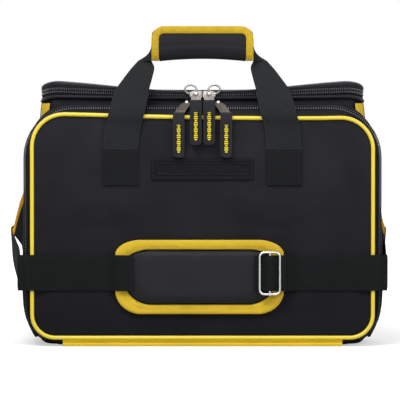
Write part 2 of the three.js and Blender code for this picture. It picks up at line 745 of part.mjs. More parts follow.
function sideRun(out) {
  const bulge = sideX(pocketMouth) + out + strapBulge;
  const turnX = podHalf + pocketFoot - bodyCorner / 2 + 0.7;
  const past = Math.max(turnX, sideX(runZ) + pocketFoot + 2 * seat + webbing / 2 + 0.6);
  const steps = [
    // [x, y, z, width direction, outward direction]
    [runSplit + seat, runOverPiping, runZ, [0, 0, 1], [0, -1, 0]],
    [past - 2.2, runOverPiping + 3, runZ, [0, 0, 1], [0.8, -0.6, 0]],
    [past, faceY + 2, runZ, [0, 0, 1], [1, -0.1, 0]],
    [past, pocketFront, runZ + 0.5, [0, 0, 1], [1, 0, 0]],
    [past + 1, pocketFront + 42, runZ + 3, [0, -0.06, 1], [1, 0, 0]],
    [bulge - 4, pocketBack + 2, runZ + 12, [0, -0.4, 1], [1, 0, 0]],
    [bulge - 1, ringY - 5, runZ + 30, [0, -0.85, 0.55], [1, 0, 0]],
    [bulge - 3, ringY, runZ + 48, [0, -1, 0.1], [1, 0, 0.15]],
    [(bulge + ringX) / 2 - 1, ringY, eyeFoot - 9, [0, -1, 0], [0.8, 0, 0.6]],
    [ringX, ringY, eyeFoot - hookWire - seat, [0, -1, 0], [1, 0, 0.1]],
  ];
  return ribbon(steps.map(([x, y, z, across, out]) => (
    { at: vec(x, y, z), across: vec(...across), out: vec(...out), wide: strapWidth }
  )), webbing);
}
for (const side of ['left', 'right']) {
  const place = (geometry) => (side === 'left' ? mirrored(geometry) : geometry);
  addPiece(`ring_tab_${side}`, place(ringTab()), 'webbing');
  addPiece(`d_ring_${side}`, place(dRing()), 'steel');
  addPiece(`swivel_hook_${side}`, place(swivelHook()), 'steel');
  addPiece(`strap_side_${side}`, place(sideRun(pocketOuts[side])), 'webbing');
}

const crownSpan = sliderWide / 2 - 0.9;
const crownThick = 1.5;
const crownWide = 3.2;
const headLong = crownSpan + crownThick + 1; // the straight part of a link, through the crown

// Zip sliders, drawn flat: x along the zip, y across it, z away from the teeth
function sliderBody() {
  const half = sliderLong / 2;
  const wide = sliderWide / 2;
  const outline = [[-half, -wide * 0.55], [-half * 0.3, -wide], [half * 0.8, -wide], [half, -wide * 0.75],
    [half, wide * 0.75], [half * 0.8, wide], [-half * 0.3, wide], [-half, wide * 0.55]];
  const plate = extrude(outline.map(([x, y]) => new THREE.Vector2(x, y)), sliderThick - 0.8);
  const raised = outline.map(([x, y]) => new THREE.Vector2(x * 0.8, y * 0.72));
  const deck = extrude(raised, sliderThick);
  const arch = Array.from({ length: 9 }, (_, i) => {
    const angle = Math.PI * (i / 8);
    const lift = sliderThick - 0.9 + (crownTall - sliderThick) * Math.sin(angle) ** 0.7;
    return new THREE.Vector2(crownSpan * Math.cos(angle), lift);
  });
  const crown = extrude(stripOutline(arch.reverse(), crownThick), crownWide).translate(0, 0, -crownWide / 2);
  crown.applyMatrix4(new THREE.Matrix4().makeBasis(vec(0, 1, 0), vec(0, 0, 1), vec(1, 0, 0)));
  return join(plate, deck, crown);
}
const crownBore = sliderThick + 1.25; // height of the link's bar under the crown

// Moves a piece drawn flat so that its x, y and z run along the given directions from at
function setUp(geometry, at, x, y, z) {
  const turn = new THREE.Matrix4().makeBasis(x, y, z).setPosition(at);
  return geometry.clone().applyMatrix4(turn);
}

// A pull link, drawn flat: y runs from the slider's crown (0) past the rubber's hinge (-long),
// where zipPull trims it. lean moves that end sideways and bend
// folds it down past the slider.
function pullLink(long, lean, bend) {
  const wide = linkWide / 2;
  const end = -long - 4;
  const bar = 0.75;
  const eye = crownWide / 2 + 0.45;
  const neck = eye + 1.4;
  const foot = 0.4 - headLong;
  const outline = [[-neck, bar], [neck, bar], [neck, foot - 0.4], [wide, foot - 3], [wide, end],
    [wide - 2.4, end], [2.6, end + 1.4], [-2.6, end + 1.4], [-wide + 2.4, end], [-wide, end],
    [-wide, foot - 3], [-neck, foot - 0.4]];
  const slot = [[-eye, -bar], [-eye, foot], [eye, foot], [eye, -bar]];
  const toShape = (list) => list.map(([x, y]) => new THREE.Vector2(x, y));
  const plate = extrude(toShape([...outline].reverse()), linkThick, [toShape(slot)]);
  const rims = [-1, 1].map((side) => {
    const x = side * (wide - 0.6);
    return block(x - 0.6, x + 0.6, end, foot - 3, 0, linkThick + linkRim);
  });
  const link = join(plate, ...rims).translate(0, 0, -linkThick / 2);
  const place = link.attributes.position;
  for (let i = 0; i < place.count; i += 1) {
    const past = Math.max(0, foot - 0.4 - place.getY(i));
    if (past === 0) continue;
    const z = place.getZ(i);
    place.setX(i, place.getX(i) + (lean * past) / (long + foot - 0.4));
    place.setY(i, foot - 0.4 - past * Math.cos(bend) - z * Math.sin(bend));
    place.setZ(i, z * Math.cos(bend) - past * Math.sin(bend));
  }
  return link;
}

// A rubber pull, drawn flat: y runs down from its hinge end, z is its thickness, face at +z
function rubberPull() {
  const wide = pullWide / 2;
  const thick = pullThick / 2;
  const foot = -pullLong + thick;
  const outline = roundedOutline(-wide, wide, foot, 0, 5, 0.4, 5);
  const body = extrude(outline, pullThick).translate(0, 0, -thick);
  const barrel = new THREE.CylinderGeometry(thick, thick, pullWide, 12).rotateZ(Math.PI / 2);
  const recess = roundedOutline(-wide * 0.55, wide * 0.55, foot + 5, -13, 3.4, 1, 4);
  const hollow = extrude(recess, 2).translate(0, 0, thick - 0.7);
  return cut(join(body, barrel), hollow);
}

const lidSliderRear = bodyFront - bandOver - 1 - seat;
const lidCrown = vec(0, lidSliderRear - crownBore, partZ(lidSliderX) - 1.4);
const podSliderBase = podTop + seat + tapeThick + seat;
const podCrown = vec(0, podZip, podSliderBase + crownBore);
const podPullY = pipingY - pipingRadius - seat - pullThick / 2;
const lidPullY = podPullY - pullThick - seat;
const lidPullZ = 294;
const headDrop = 0.17; // how steeply the pocket zip's links leave their crowns, in radians
const podPullZ = 279;
const front = vec(0, -1, 0);
const up = vec(0, 0, 1);
const right = vec(1, 0, 0);

// One slider with its link and rubber pull; shift moves the rubber sideways from the slider
function zipPull(name, crown, sliderX, pull, facing) {
  const side = Math.sign(sliderX);
  const along = right.clone().multiplyScalar(-side);
  const top = crown.clone().add(vec(sliderX, 0, 0));
  const base = top.clone().addScaledVector(facing, -crownBore);
  const across = facing.clone().cross(along);
  addPiece(`${name}_slider`, setUp(sliderBody(), base, along, across, facing), 'steel');
  const y = top.clone().sub(pull).setX(0).normalize();
  if (facing === up) y.set(0, Math.cos(headDrop), Math.sin(headDrop));
  const z = right.clone().cross(y).normalize();
  const fold = top.clone().addScaledVector(y, -headLong);
  const run = fold.clone().sub(pull).setX(0);
  const bend = Math.atan2(run.z, run.y) - Math.atan2(y.z, y.y);
  const long = headLong + run.length();
  const link = setUp(pullLink(long, pull.x - sliderX, bend), top, y.clone().cross(z), y, z);
  const trim = pull.y + pullThick / 2 + seat;
  const past = block(pull.x - 30, pull.x + 30, trim - 30, trim, pull.z - 30, pull.z + 30);
  addPiece(`${name}_link`, cut(link, past), 'steel');
  addPiece(`${name}_pull`, setUp(rubberPull(), pull, right, up, front), 'rubber');
}
zipPull('lid_left', lidCrown, -lidSliderX, vec(-lidSliderX, lidPullY, lidPullZ), front);
zipPull('lid_right', lidCrown, lidSliderX, vec(lidSliderX, lidPullY, lidPullZ), front);
zipPull('pocket_left', podCrown, -podSliderX, vec(-podPullX, podPullY, podPullZ), up);
zipPull('pocket_right', podCrown, podSliderX, vec(podPullX, podPullY, podPullZ), up);
export default group;
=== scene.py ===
"""Looks of a zippered tool bag: cloth, webbing, zips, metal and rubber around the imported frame."""

import logging
import math
from collections.abc import Callable, Iterable, Sequence
from dataclasses import dataclass, field
from enum import Enum

import bmesh
import bpy
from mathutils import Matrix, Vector, noise


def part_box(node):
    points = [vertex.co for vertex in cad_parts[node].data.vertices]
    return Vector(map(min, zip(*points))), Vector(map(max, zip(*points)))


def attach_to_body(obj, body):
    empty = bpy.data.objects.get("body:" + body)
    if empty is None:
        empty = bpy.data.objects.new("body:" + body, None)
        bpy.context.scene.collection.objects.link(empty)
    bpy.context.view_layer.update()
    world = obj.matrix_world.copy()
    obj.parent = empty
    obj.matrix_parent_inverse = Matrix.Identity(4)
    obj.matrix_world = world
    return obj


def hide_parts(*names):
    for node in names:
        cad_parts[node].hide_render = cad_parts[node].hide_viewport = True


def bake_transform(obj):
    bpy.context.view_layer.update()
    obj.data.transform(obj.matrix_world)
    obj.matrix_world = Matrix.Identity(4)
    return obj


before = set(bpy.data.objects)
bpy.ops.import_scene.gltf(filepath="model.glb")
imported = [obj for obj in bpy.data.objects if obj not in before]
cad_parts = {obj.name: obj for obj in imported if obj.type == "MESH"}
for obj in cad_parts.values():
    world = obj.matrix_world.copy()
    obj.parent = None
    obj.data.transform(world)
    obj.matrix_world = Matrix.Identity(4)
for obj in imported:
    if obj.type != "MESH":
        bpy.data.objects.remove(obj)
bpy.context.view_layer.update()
LOG = logging.getLogger("tool_bag")
FRONT = Vector((0, -1, 0)).freeze()
REAR = Vector((0, 1, 0)).freeze()
UP = Vector((0, 0, 1)).freeze()
MM = 0.001
PICTURE = 400  # px across the picture
SENSOR = 36  # mm across the camera's sensor
FLAT_EDGE = 50  # degrees: edges below this look smooth, on flat cloth, webbing and narrow tape
FOLD_EDGE = 60  # the same for folds, padding and pins
ROUND_EDGE = 80  # the same for bent wire and beads
STITCH_STAND = 0.05  # mm that a stitch line lies above its surface
Ring = list[Vector]


class Side(Enum):
    """Which end of the bag a piece is on."""

    LEFT = -1
    RIGHT = 1

    @property
    def word(self) -> str:
        """The side's name in piece names."""
        return self.name.lower()


# Meshes


def mm(x: float, y: float, z: float) -> Vector:
    """A point given in millimetres, in metres."""
    return Vector((x, y, z)) * MM


def link_mesh(mesh: bpy.types.Mesh, material: bpy.types.Material, smooth: float) -> bpy.types.Object:
    """Makes a mesh an object of the same name, with its material and smooth shading.

    Args:
        mesh: The mesh, in metres in the bag's frame.
        material: Its finish.
        smooth: Edges sharper than this many degrees stay sharp.

    Returns:
        The new object.
    """
    mesh.materials.clear()
    mesh.materials.append(material)
    mesh.shade_smooth()
    mesh.set_sharp_from_angle(angle=math.radians(smooth))
    made = bpy.data.objects.new(mesh.name, mesh)
    bpy.context.scene.collection.objects.link(made)
    return made


def mesh_of(name: str, points: Sequence[Vector], faces: Iterable[Sequence[int]]) -> bpy.types.Mesh:
    """A mesh from points and faces, with its faces turned outwards.

    Args:
        name: The mesh's name.
        points: Its points, in metres.
        faces: Its faces, as indices into the points.

    Returns:
        The mesh.
    """
    mesh = bpy.data.meshes.new(name)
    mesh.from_pydata([tuple(p) for p in points], [], [tuple(f) for f in faces])
    shape = bmesh.new()
    shape.from_mesh(mesh)
    bmesh.ops.remove_doubles(shape, verts=shape.verts, dist=1e-7)
    bmesh.ops.recalc_face_normals(shape, faces=shape.faces)
    bmesh.ops.triangulate(shape, faces=[f for f in shape.faces if len(f.verts) > 4], ngon_method="BEAUTY")
    shape.to_mesh(mesh)
    shape.free()
    return mesh


def loft(name: str, rings: Sequence[Ring], closed_ends: bool = True, around: bool = False) -> bpy.types.Mesh:
    """A skin through rings of points that all have the same count.

    Args:
        name: The mesh's name.
        rings: The rings, in order.
        closed_ends: Whether the first and last ring are filled.
        around: Whether the last ring joins the first.

    Returns:
        The mesh.
    """
    count = len(rings[0])
    points = [p for ring in rings for p in ring]
    faces: list[Sequence[int]] = []
    spans = len(rings) if around else len(rings) - 1
    for r in range(spans):
        low, high = r * count, ((r + 1) % len(rings)) * count
        for i in range(count):
            j = (i + 1) % count
            faces.append((low + i, low + j, high + j, high + i))
    if closed_ends and not around:
        faces.append(range(count))
        faces.append(range((len(rings) - 1) * count, len(rings) * count))
    return mesh_of(name, points, faces)


def rounded(
    x0: float, x1: float, z0: float, z1: float, lower: float, upper: float, steps: int = 10, along: int = 1
) -> list[tuple[float, float]]:
    """Outline of a rounded rectangle, counter-clockwise from its right side.

    Args:
        x0: Left edge.
        x1: Right edge.
        z0: Lower edge.
        z1: Upper edge.
        lower: Radius of the lower corners.
        upper: Radius of the upper corners.
        steps: Faces round each corner.
        along: Points along each straight side.

    Returns:
        The outline's points.
    """
    corners = (
        (x1 - upper, z1 - upper, upper, 0),
        (x0 + upper, z1 - upper, upper, 1),
        (x0 + lower, z0 + lower, lower, 2),
        (x1 - lower, z0 + lower, lower, 3),
    )
    points: list[tuple[float, float]] = []
    for cx, cz, radius, quarter in corners:
        if points and along > 1:
            points += between(points[-1], (cx + radius * math.cos(quarter * math.pi / 2),
                                           cz + radius * math.sin(quarter * math.pi / 2)), along)
        for i in range(steps + 1):
            angle = (quarter + i / steps) * math.pi / 2
            points.append((cx + radius * math.cos(angle), cz + radius * math.sin(angle)))
    if along > 1:
        points += between(points[-1], points[0], along)
    return points


def between(a: tuple[float, float], b: tuple[float, float], count: int) -> list[tuple[float, float]]:
    """The points that divide a line into count equal parts, without its ends."""
    return [(a[0] + (b[0] - a[0]) * k / count, a[1] + (b[1] - a[1]) * k / count) for k in range(1, count)]


def smooth_path(points: Sequence[Vector], steps: int) -> list[Vector]:
    """A smooth curve through given points.

    Args:
        points: The points to pass through.
        steps: Steps between two points.

    Returns:
        Points along the curve, both ends included.
    """
    path: list[Vector] = []
    for i in range(len(points) - 1):
        a, b = points[max(i - 1, 0)], points[i]
        c, d = points[i + 1], points[min(i + 2, len(points) - 1)]
        for k in range(steps):
            t = k / steps
            path.append(0.5 * (2 * b + (c - a) * t + (2 * a - 5 * b + 4 * c - d) * t**2
                               + (3 * b - a - 3 * c + d) * t**3))
    path.append(points[-1].copy())
    return path


def tube(
    name: str, path: Sequence[Vector], radius: float, flat: Vector, sides: int = 12, around: bool = True
) -> bpy.types.Mesh:
    """A round bar along a path.

    Args:
        name: The mesh's name.
        path: Points along its middle, in metres.
        radius: Its radius, in metres.
        flat: A direction square to the path everywhere, or nearly so.
        sides: Faces round the bar.
        around: Whether the bar closes on itself.

    Returns:
        The mesh.
    """
    rings: list[Ring] = []
    last = len(path) - 1
    for i, point in enumerate(path):
        before = path[i - 1] if around or i else path[0]
        after = path[(i + 1) % len(path)] if around or i < last else path[last]
        side = (after - before).normalized().cross(flat).normalized()
        rings.append([
            point + radius * (side * math.cos(a) + flat * math.sin(a))
            for a in (2 * math.pi * k / sides for k in range(sides))
        ])
    return loft(name, rings, around=around)


@dataclass
class Section:
    """One place along a strip of webbing: its middle, its width direction and the way its face looks."""

    at: Vector
    across: Vector
    out: Vector
    wide: float = 0.043


def strip(name: str, sections: Sequence[Section], thick: float, columns: int = 8,
          crown: float = 0.0) -> bpy.types.Mesh:
    """A flat strap through sections, with its length and width in metres as its UV map.

    Args:
        name: The mesh's name.
        sections: The strap's sections in order.
        thick: Its thickness in metres.
        columns: Faces across its width.
        crown: How far its middle stands out from its edges, in metres.

    Returns:
        The mesh.
    """
    rings: list[Ring] = []
    lengths = [0.0]
    for i, s in enumerate(sections):
        if i:
            lengths.append(lengths[-1] + (s.at - sections[i - 1].at).length)
        across, out = s.across.normalized(), s.out.normalized()
        top: Ring = []
        low: Ring = []
        for k in range(columns + 1):
            u = 2 * k / columns - 1
            lift = crown * (1 - u * u)
            edge = thick / 2 * (1 - 0.55 * abs(u) ** 12)
            base = s.at + across * (u * s.wide / 2) + out * lift
            top.append(base + out * edge)
            low.append(base - out * edge)
        rings.append(top + low[::-1])
    mesh = loft(name, rings)
    write_strip_uv(mesh, sections, lengths)
    return mesh


def write_strip_uv(mesh: bpy.types.Mesh, sections: Sequence[Section], lengths: Sequence[float]) -> None:
    """Gives a strap's points the length and width at which they lie, as its UV map."""
    layer = mesh.uv_layers.new(name="weave")
    places: list[tuple[float, float]] = []
    for vertex in mesh.vertices:
        near = min(range(len(sections)), key=lambda i: (sections[i].at - vertex.co).length_squared)
        s = sections[near]
        run = sections[min(near + 1, len(sections) - 1)].at - sections[max(near - 1, 0)].at
        along = (vertex.co - s.at).dot(run.normalized())
        places.append((lengths[near] + along, (vertex.co - s.at).dot(s.across.normalized())))
    for loop in mesh.loops:
        layer.data[loop.index].uv = places[loop.vertex_index]


def refined(name: str, node: str, material: bpy.types.Material, bevel: float) -> bpy.types.Object:
    """A rigid node's shape with its points joined and its edges rounded, standing for that node.

    Args:
        name: The new piece's name.
        node: The frame's node.
        material: Its finish.
        bevel: Radius of its edges, in metres.

    Returns:
        The new object.
    """
    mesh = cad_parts[node].data.copy()
    shape = bmesh.new()
    shape.from_mesh(mesh)
    bmesh.ops.remove_doubles(shape, verts=shape.verts, dist=2e-6)
    bmesh.ops.dissolve_limit(shape, angle_limit=math.radians(1), verts=shape.verts, edges=shape.edges)
    shape.to_mesh(mesh)
    shape.free()
    mesh.name = name
    made = link_mesh(mesh, material, 35)
    rounding = made.modifiers.new("edges", "BEVEL")
    rounding.width = bevel
    rounding.segments = 2
    rounding.limit_method = "ANGLE"
    rounding.angle_limit = math.radians(32)
    rounding.use_clamp_overlap = True
    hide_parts(node)
    return made


def place(made: bpy.types.Object, body: str, slot: str, *nodes: str) -> bpy.types.Object:
    """Lets a finished piece ride on a body and hides the nodes that it stands for.

    Args:
        made: The piece.
        body: The body that it moves with.
        slot: The record's material slot; not used.
        nodes: Nodes that it stands for.

    Returns:
        The piece.
    """
    if nodes:
        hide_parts(*nodes)
    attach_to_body(made, body)
    LOG.info("%s rides on %s with %d faces", made.name, body, len(made.data.polygons))
    return made


def attach(
    mesh: bpy.types.Mesh, material: bpy.types.Material, smooth: float, body: str, slot: str, *nodes: str
) -> bpy.types.Object:
    """Makes a mesh a finished piece that rides on a body.

    Args:
        mesh: The mesh, in metres in the bag's frame.
        material: Its finish.
        smooth: Edges sharper than this many degrees stay sharp.
        body: The body that it moves with.
        slot: The record's material slot.
        nodes: Nodes that it stands for.

    Returns:
        The piece.
    """
    return place(link_mesh(mesh, material, smooth), body, slot, *nodes)


# Materials


class Weave(Enum):
    """The fine structure of a surface."""

    CLOTH = "cloth"
    RIBBED = "ribbed"
    GRAIN = "grain"
    BRUSHED = "brushed"


def srgb(red: float, green: float, blue: float) -> tuple[float, float, float, float]:
    """A colour given as it looks on a screen, 0 to 255, as the linear colour that a shader takes."""
    return (*((c / 255 / 12.92) if c < 10.3 else ((c / 255 + 0.055) / 1.055) ** 2.4 for c in (red, green,
                                                                                              blue)), 1.0)


class Graph:
    """Short calls that fill a node tree."""

    def __init__(self, tree: bpy.types.NodeTree) -> None:
        self.tree = tree

    def add(
        self, kind: str, settings: dict[str, object] | None = None,
        inputs: dict[str | int, object] | None = None
    ) -> bpy.types.Node:
        """Adds a node.

        Args:
            kind: The node's type.
            settings: Its properties.
            inputs: Values for its sockets, or the sockets to link to them.

        Returns:
            The node.
        """
        node = self.tree.nodes.new(kind)
        for key, value in (settings or {}).items():
            setattr(node, key, value)
        for key, value in (inputs or {}).items():
            if isinstance(value, bpy.types.NodeSocket):
                self.tree.links.new(value, node.inputs[key])
            else:
                node.inputs[key].default_value = value
        return node

    def math(self, operation: str, *values: object) -> bpy.types.NodeSocket:
        """The result of a sum on numbers or sockets."""
        return self.add("ShaderNodeMath", {"operation": operation}, dict(enumerate(values))).outputs[0]

    def vector(self, operation: str, *values: object, out: int = 0) -> bpy.types.NodeSocket:
        """The result of a sum on vectors or sockets."""
        return self.add("ShaderNodeVectorMath", {"operation": operation},
                        dict(enumerate(values))).outputs[out]

    def scaled(self, value: object, factor: object) -> bpy.types.NodeSocket:
        """A vector or colour times a number."""
        return self.add("ShaderNodeVectorMath", {"operation": "SCALE"},
                        {0: value, "Scale": factor}).outputs[0]

    def noise(self, coords: bpy.types.NodeSocket, scale: float, detail: float = 3) -> bpy.types.NodeSocket:
        """A grey noise with the given number of lumps to the metre."""
        made = self.add("ShaderNodeTexNoise", {}, {"Vector": coords, "Scale": scale, "Detail": detail})
        return made.outputs["Fac"]

    def span(
        self, value: bpy.types.NodeSocket, low: float, high: float, to_low: float, to_high: float
    ) -> bpy.types.NodeSocket:
        """A value moved from one range to another, and held inside it."""
        return self.add("ShaderNodeMapRange", {},
                        {0: value, 1: low, 2: high, 3: to_low, 4: to_high}).outputs[0]


@dataclass(frozen=True)
class Finish:
    """One material: its colour on screen, its gloss and how much fine detail it shows."""

    name: str
    color: tuple[float, float, float]
    roughness: float
    weave: Weave = Weave.CLOTH
    pitch: float = 1.1  # mm between threads, ribs or grains
    relief: float = 0.1  # mm of thread height
    contrast: float = 0.25  # how much darker the gaps between threads are
    mottling: float = 0.12
    crease: float = 0.0  # mm of soft dents
    sheen: float = 0.0
    metallic: float = 0.0
    coat: float = 0.0
    wear: float = 0.12  # how much lighter worn edges are
    shine: float = 0.07  # strength of the highlight
    fade: float = 0.0  # painted light: how much lighter the colour is painted high on the bag than low, standing in for light from above

    def build(self) -> bpy.types.Material:
        """Makes the material.

        Returns:
            The material.
        """
        made = bpy.data.materials.new(self.name)
        made.use_nodes = True
        graph = Graph(made.node_tree)
        shader = made.node_tree.nodes["Principled BSDF"]
        coords = graph.add("ShaderNodeTexCoord").outputs["Object"]
        height = self.threads(graph, coords)
        broad = graph.noise(coords, 14, 4)
        speck = graph.noise(coords, 700, 2)
        tone = graph.math("ADD", graph.span(broad, 0.3, 0.7, 1 - self.mottling, 1 + self.mottling),
                          graph.span(speck, 0.3, 0.7, -self.mottling / 2, self.mottling / 2))
        tone = graph.math("MULTIPLY", tone,
                          graph.span(height, -1, 1, 1 - self.contrast, 1 + self.contrast / 3))
        # painted light: the colour is made lighter high on the bag and darker low down, as light from above
        # would fall
        if self.fade:
            level = graph.add("ShaderNodeSeparateXYZ", {}, {0: coords}).outputs["Z"]
            tone = graph.math("MULTIPLY", tone, graph.span(level, 0.02, 0.3, 1 - self.fade, 1 + self.fade))
        edge = graph.add("ShaderNodeNewGeometry").outputs["Pointiness"]
        tone = graph.math("ADD", tone, graph.span(edge, 0.52, 0.62, 0, self.wear))
        graph.tree.links.new(graph.scaled(srgb(*self.color)[:3], tone), shader.inputs["Base Color"])
        rough = graph.span(broad, 0.3, 0.7, self.roughness - 0.06, self.roughness + 0.06)
        graph.tree.links.new(rough, shader.inputs["Roughness"])
        fine = graph.add("ShaderNodeBump", {},
                         {"Height": height, "Distance": self.relief * MM, "Strength": 0.7})
        normal = fine.outputs[0]
        if self.crease:
            soft = graph.noise(coords, 26, 2)
            dents = graph.add("ShaderNodeBump", {},
                              {"Height": soft, "Distance": self.crease * MM, "Normal": normal})
            normal = dents.outputs[0]
        graph.tree.links.new(normal, shader.inputs["Normal"])
        values = {"Metallic": self.metallic, "Specular IOR Level": self.shine, "Sheen Weight": self.sheen,
                  "Sheen Roughness": 0.5, "Coat Weight": self.coat, "Coat Roughness": 0.25}
        for socket, value in values.items():
            shader.inputs[socket].default_value = value
        return made

    def threads(self, graph: Graph, coords: bpy.types.NodeSocket) -> bpy.types.NodeSocket:
        """The height of the surface's threads, ribs or grains, from -1 to 1."""
        turn = 2 * math.pi / (self.pitch * MM)
        if self.weave is Weave.GRAIN:
            return graph.span(graph.noise(coords, 1 / (self.pitch * MM), 2), 0.3, 0.7, -1, 1)
        if self.weave is Weave.BRUSHED:
            long = graph.vector("MULTIPLY", coords, (1, 1, 9))
            return graph.span(graph.noise(long, 0.5 / (self.pitch * MM), 3), 0.3, 0.7, -1, 1)
        if self.weave is Weave.RIBBED:
            length = graph.add("ShaderNodeUVMap", {"uv_map": "weave"}).outputs[0]
            waves = graph.vector("SINE", graph.vector("MULTIPLY", length, (turn, turn * 0.55, 0)))
            return graph.vector("DOT_PRODUCT", waves, (0.75, 0.25, 0), out=1)
        waves = graph.vector("SINE", graph.scaled(coords, turn))
        return graph.vector("DOT_PRODUCT", waves, (0.4, 0.4, 0.4), out=1)


@dataclass
class Finishes:
    """Every material of the bag, made once."""

    made: dict[str, bpy.types.Material] = field(default_factory=dict)
    kinds: tuple[Finish, ...] = (
        # fade below is painted light: these finishes are painted lighter high on the bag than low
        Finish("panel_cloth", (29, 28, 32), 0.7, crease=0.9, sheen=0.02, contrast=0.4, mottling=0.24,
               fade=0.45),
        Finish("body_cloth", (28, 28, 32), 0.72, crease=1.0, sheen=0.02, contrast=0.4, mottling=0.2,
               fade=0.3),
        Finish("smooth_cloth", (27, 27, 31), 0.5, pitch=0.6, relief=0.04, crease=0.9, sheen=0.02,
               contrast=0.2,
               shine=0.14),
        Finish("gusset_cloth", (21, 21, 24), 0.8, pitch=0.8, relief=0.06, contrast=0.3, fade=0.7),
        Finish("lining_cloth", (30, 31, 36), 0.9, pitch=0.8, contrast=0.2),
        Finish("webbing", (31, 33, 34), 0.62, Weave.RIBBED, pitch=2.2, relief=0.3, contrast=0.45, sheen=0.02,
               fade=0.3),
        # painted shade: a darker copy of the webbing, for the stitched-down strap ends lower on the bag than
        # the handles
        Finish("stitched_webbing", (25, 26, 27), 0.7, Weave.RIBBED, pitch=2.2, relief=0.3, contrast=0.5),
        Finish("dark_webbing", (21, 24, 24), 0.7, Weave.RIBBED, pitch=2.2, relief=0.28, contrast=0.4),
        Finish("trim_tape", (202, 169, 45), 0.6, pitch=0.8, relief=0.1, contrast=0.16, mottling=0.07,
               sheen=0.1,
               crease=0.35, wear=0.05),
        Finish("grip_tape", (186, 154, 38), 0.6, pitch=0.8, relief=0.1, contrast=0.16, mottling=0.1,
               sheen=0.1,
               crease=0.35, wear=0.1),
        # painted light: a brighter copy of the yellow tape, making up for the shade at the bottom of the bag
        Finish("foot_tape", (230, 196, 46), 0.6, pitch=0.8, relief=0.1, contrast=0.16, mottling=0.07,
               wear=0.05),
        Finish("pocket_trim", (200, 146, 28), 0.65, pitch=0.8, relief=0.1, contrast=0.2, mottling=0.1,
               crease=0.5),
        Finish("piping_vinyl", (224, 198, 54), 0.34, Weave.GRAIN, pitch=0.5, relief=0.03, contrast=0.04,
               mottling=0.03, coat=0.2, wear=0.04, shine=0.35),
        Finish("zip_tape", (16, 16, 18), 0.8, pitch=0.7, relief=0.08, contrast=0.4),
        Finish("pale_coil", (100, 100, 106), 0.45, Weave.GRAIN, pitch=0.4, relief=0.02, contrast=0.1,
               mottling=0.2,
               shine=0.4, fade=0.5),
        Finish("zip_coil", (88, 88, 94), 0.45, Weave.GRAIN, pitch=0.4, relief=0.02, contrast=0.1,
               mottling=0.2,
               shine=0.4),
        Finish("stitching", (34, 34, 38), 0.6, Weave.GRAIN, pitch=0.3, relief=0.03, contrast=0.3),
        Finish("yellow_thread", (186, 150, 34), 0.6, Weave.GRAIN, pitch=0.3, relief=0.03, contrast=0.2),
        Finish("patch_rubber", (22, 22, 25), 0.6, Weave.GRAIN, pitch=1.1, relief=0.1, contrast=0.3, wear=0.5),
        Finish("rubber", (26, 26, 30), 0.62, Weave.GRAIN, pitch=1.1, relief=0.14, contrast=0.4, wear=0.5,
               shine=0.16),
        Finish("yellow_rubber", (214, 194, 44), 0.5, Weave.GRAIN, pitch=0.5, relief=0.05, contrast=0.15),
        Finish("steel", (160, 156, 152), 0.28, Weave.BRUSHED, pitch=0.6, relief=0.02, contrast=0.2,
               mottling=0.1, metallic=1.0, wear=0.3, shine=0.5),
        Finish("link_steel", (98, 91, 85), 0.46, Weave.BRUSHED, pitch=0.8, relief=0.03, contrast=0.25,
               mottling=0.2, metallic=1.0, wear=0.7, shine=0.5),
        Finish("bright_steel", (214, 212, 212), 0.2, Weave.BRUSHED, pitch=0.8, relief=0.01, contrast=0.08,
               mottling=0.05, metallic=1.0, shine=0.5),
        Finish("board", (46, 45, 44), 0.85, Weave.GRAIN, pitch=1.2, relief=0.1, contrast=0.2),
    )

    def __post_init__(self) -> None:
        for kind in self.kinds:
            self.made[kind.name] = kind.build()

    def __getitem__(self, name: str) -> bpy.types.Material:
        return self.made[name]


# What repeats along a line: zip coils and stitches


@dataclass
class Run:
    """A line on a surface: its points and the way the surface looks at each."""

    points: list[Vector]
    ups: list[Vector]
    closed: bool = False


def heading(path: Sequence[Vector], i: int) -> Vector:
    """The way a path runs past its point i."""
    return path[min(i + 1, len(path) - 1)] - path[max(i - 1, 0)]


def faced(points: list[Vector], out: Vector = FRONT, closed: bool = False) -> Run:
    """A line whose surface looks one way all along, by default to the front."""
    return Run(points, [out] * len(points), closed)


def opened(kept: list[Vector], axis: Vector, away: Callable[[Vector], Vector], lean: float = 0.0) -> Run:
    """The open line that a ring leaves when part of it is taken away.

    Args:
        kept: The points that are left, in their order round the ring.
        axis: The direction that the ring turns round.
        away: The way from the ring's middle to a point.
        lean: How far the surface leans towards the front.

    Returns:
        The line, with the surface looking outwards.
    """
    start = max(range(len(kept)), key=lambda i: (kept[i] - kept[i - 1]).length)
    path = kept[start:] + kept[:start]
    ups = []
    for i, p in enumerate(path):
        out = heading(path, i).cross(axis).normalized()
        out = out if out.dot(away(p)) > 0 else -out
        ups.append((out + Vector((0, -lean, 0))).normalized())
    return Run(path, ups)


@dataclass(frozen=True)
class Bead:
    """One rounded bead that repeats along a line."""

    pitch: float  # mm from one to the next
    size: tuple[float, float, float]  # mm along the line, across it and above it
    slant: float = 0.0
    jitter: float = 0.0
    seed: int = 3


WEB_STITCH = Bead(3.0, (2.2, 0.6, 0.5), jitter=0.05)
FINE_STITCH = Bead(3.0, (2.2, 0.5, 0.45), jitter=0.05)


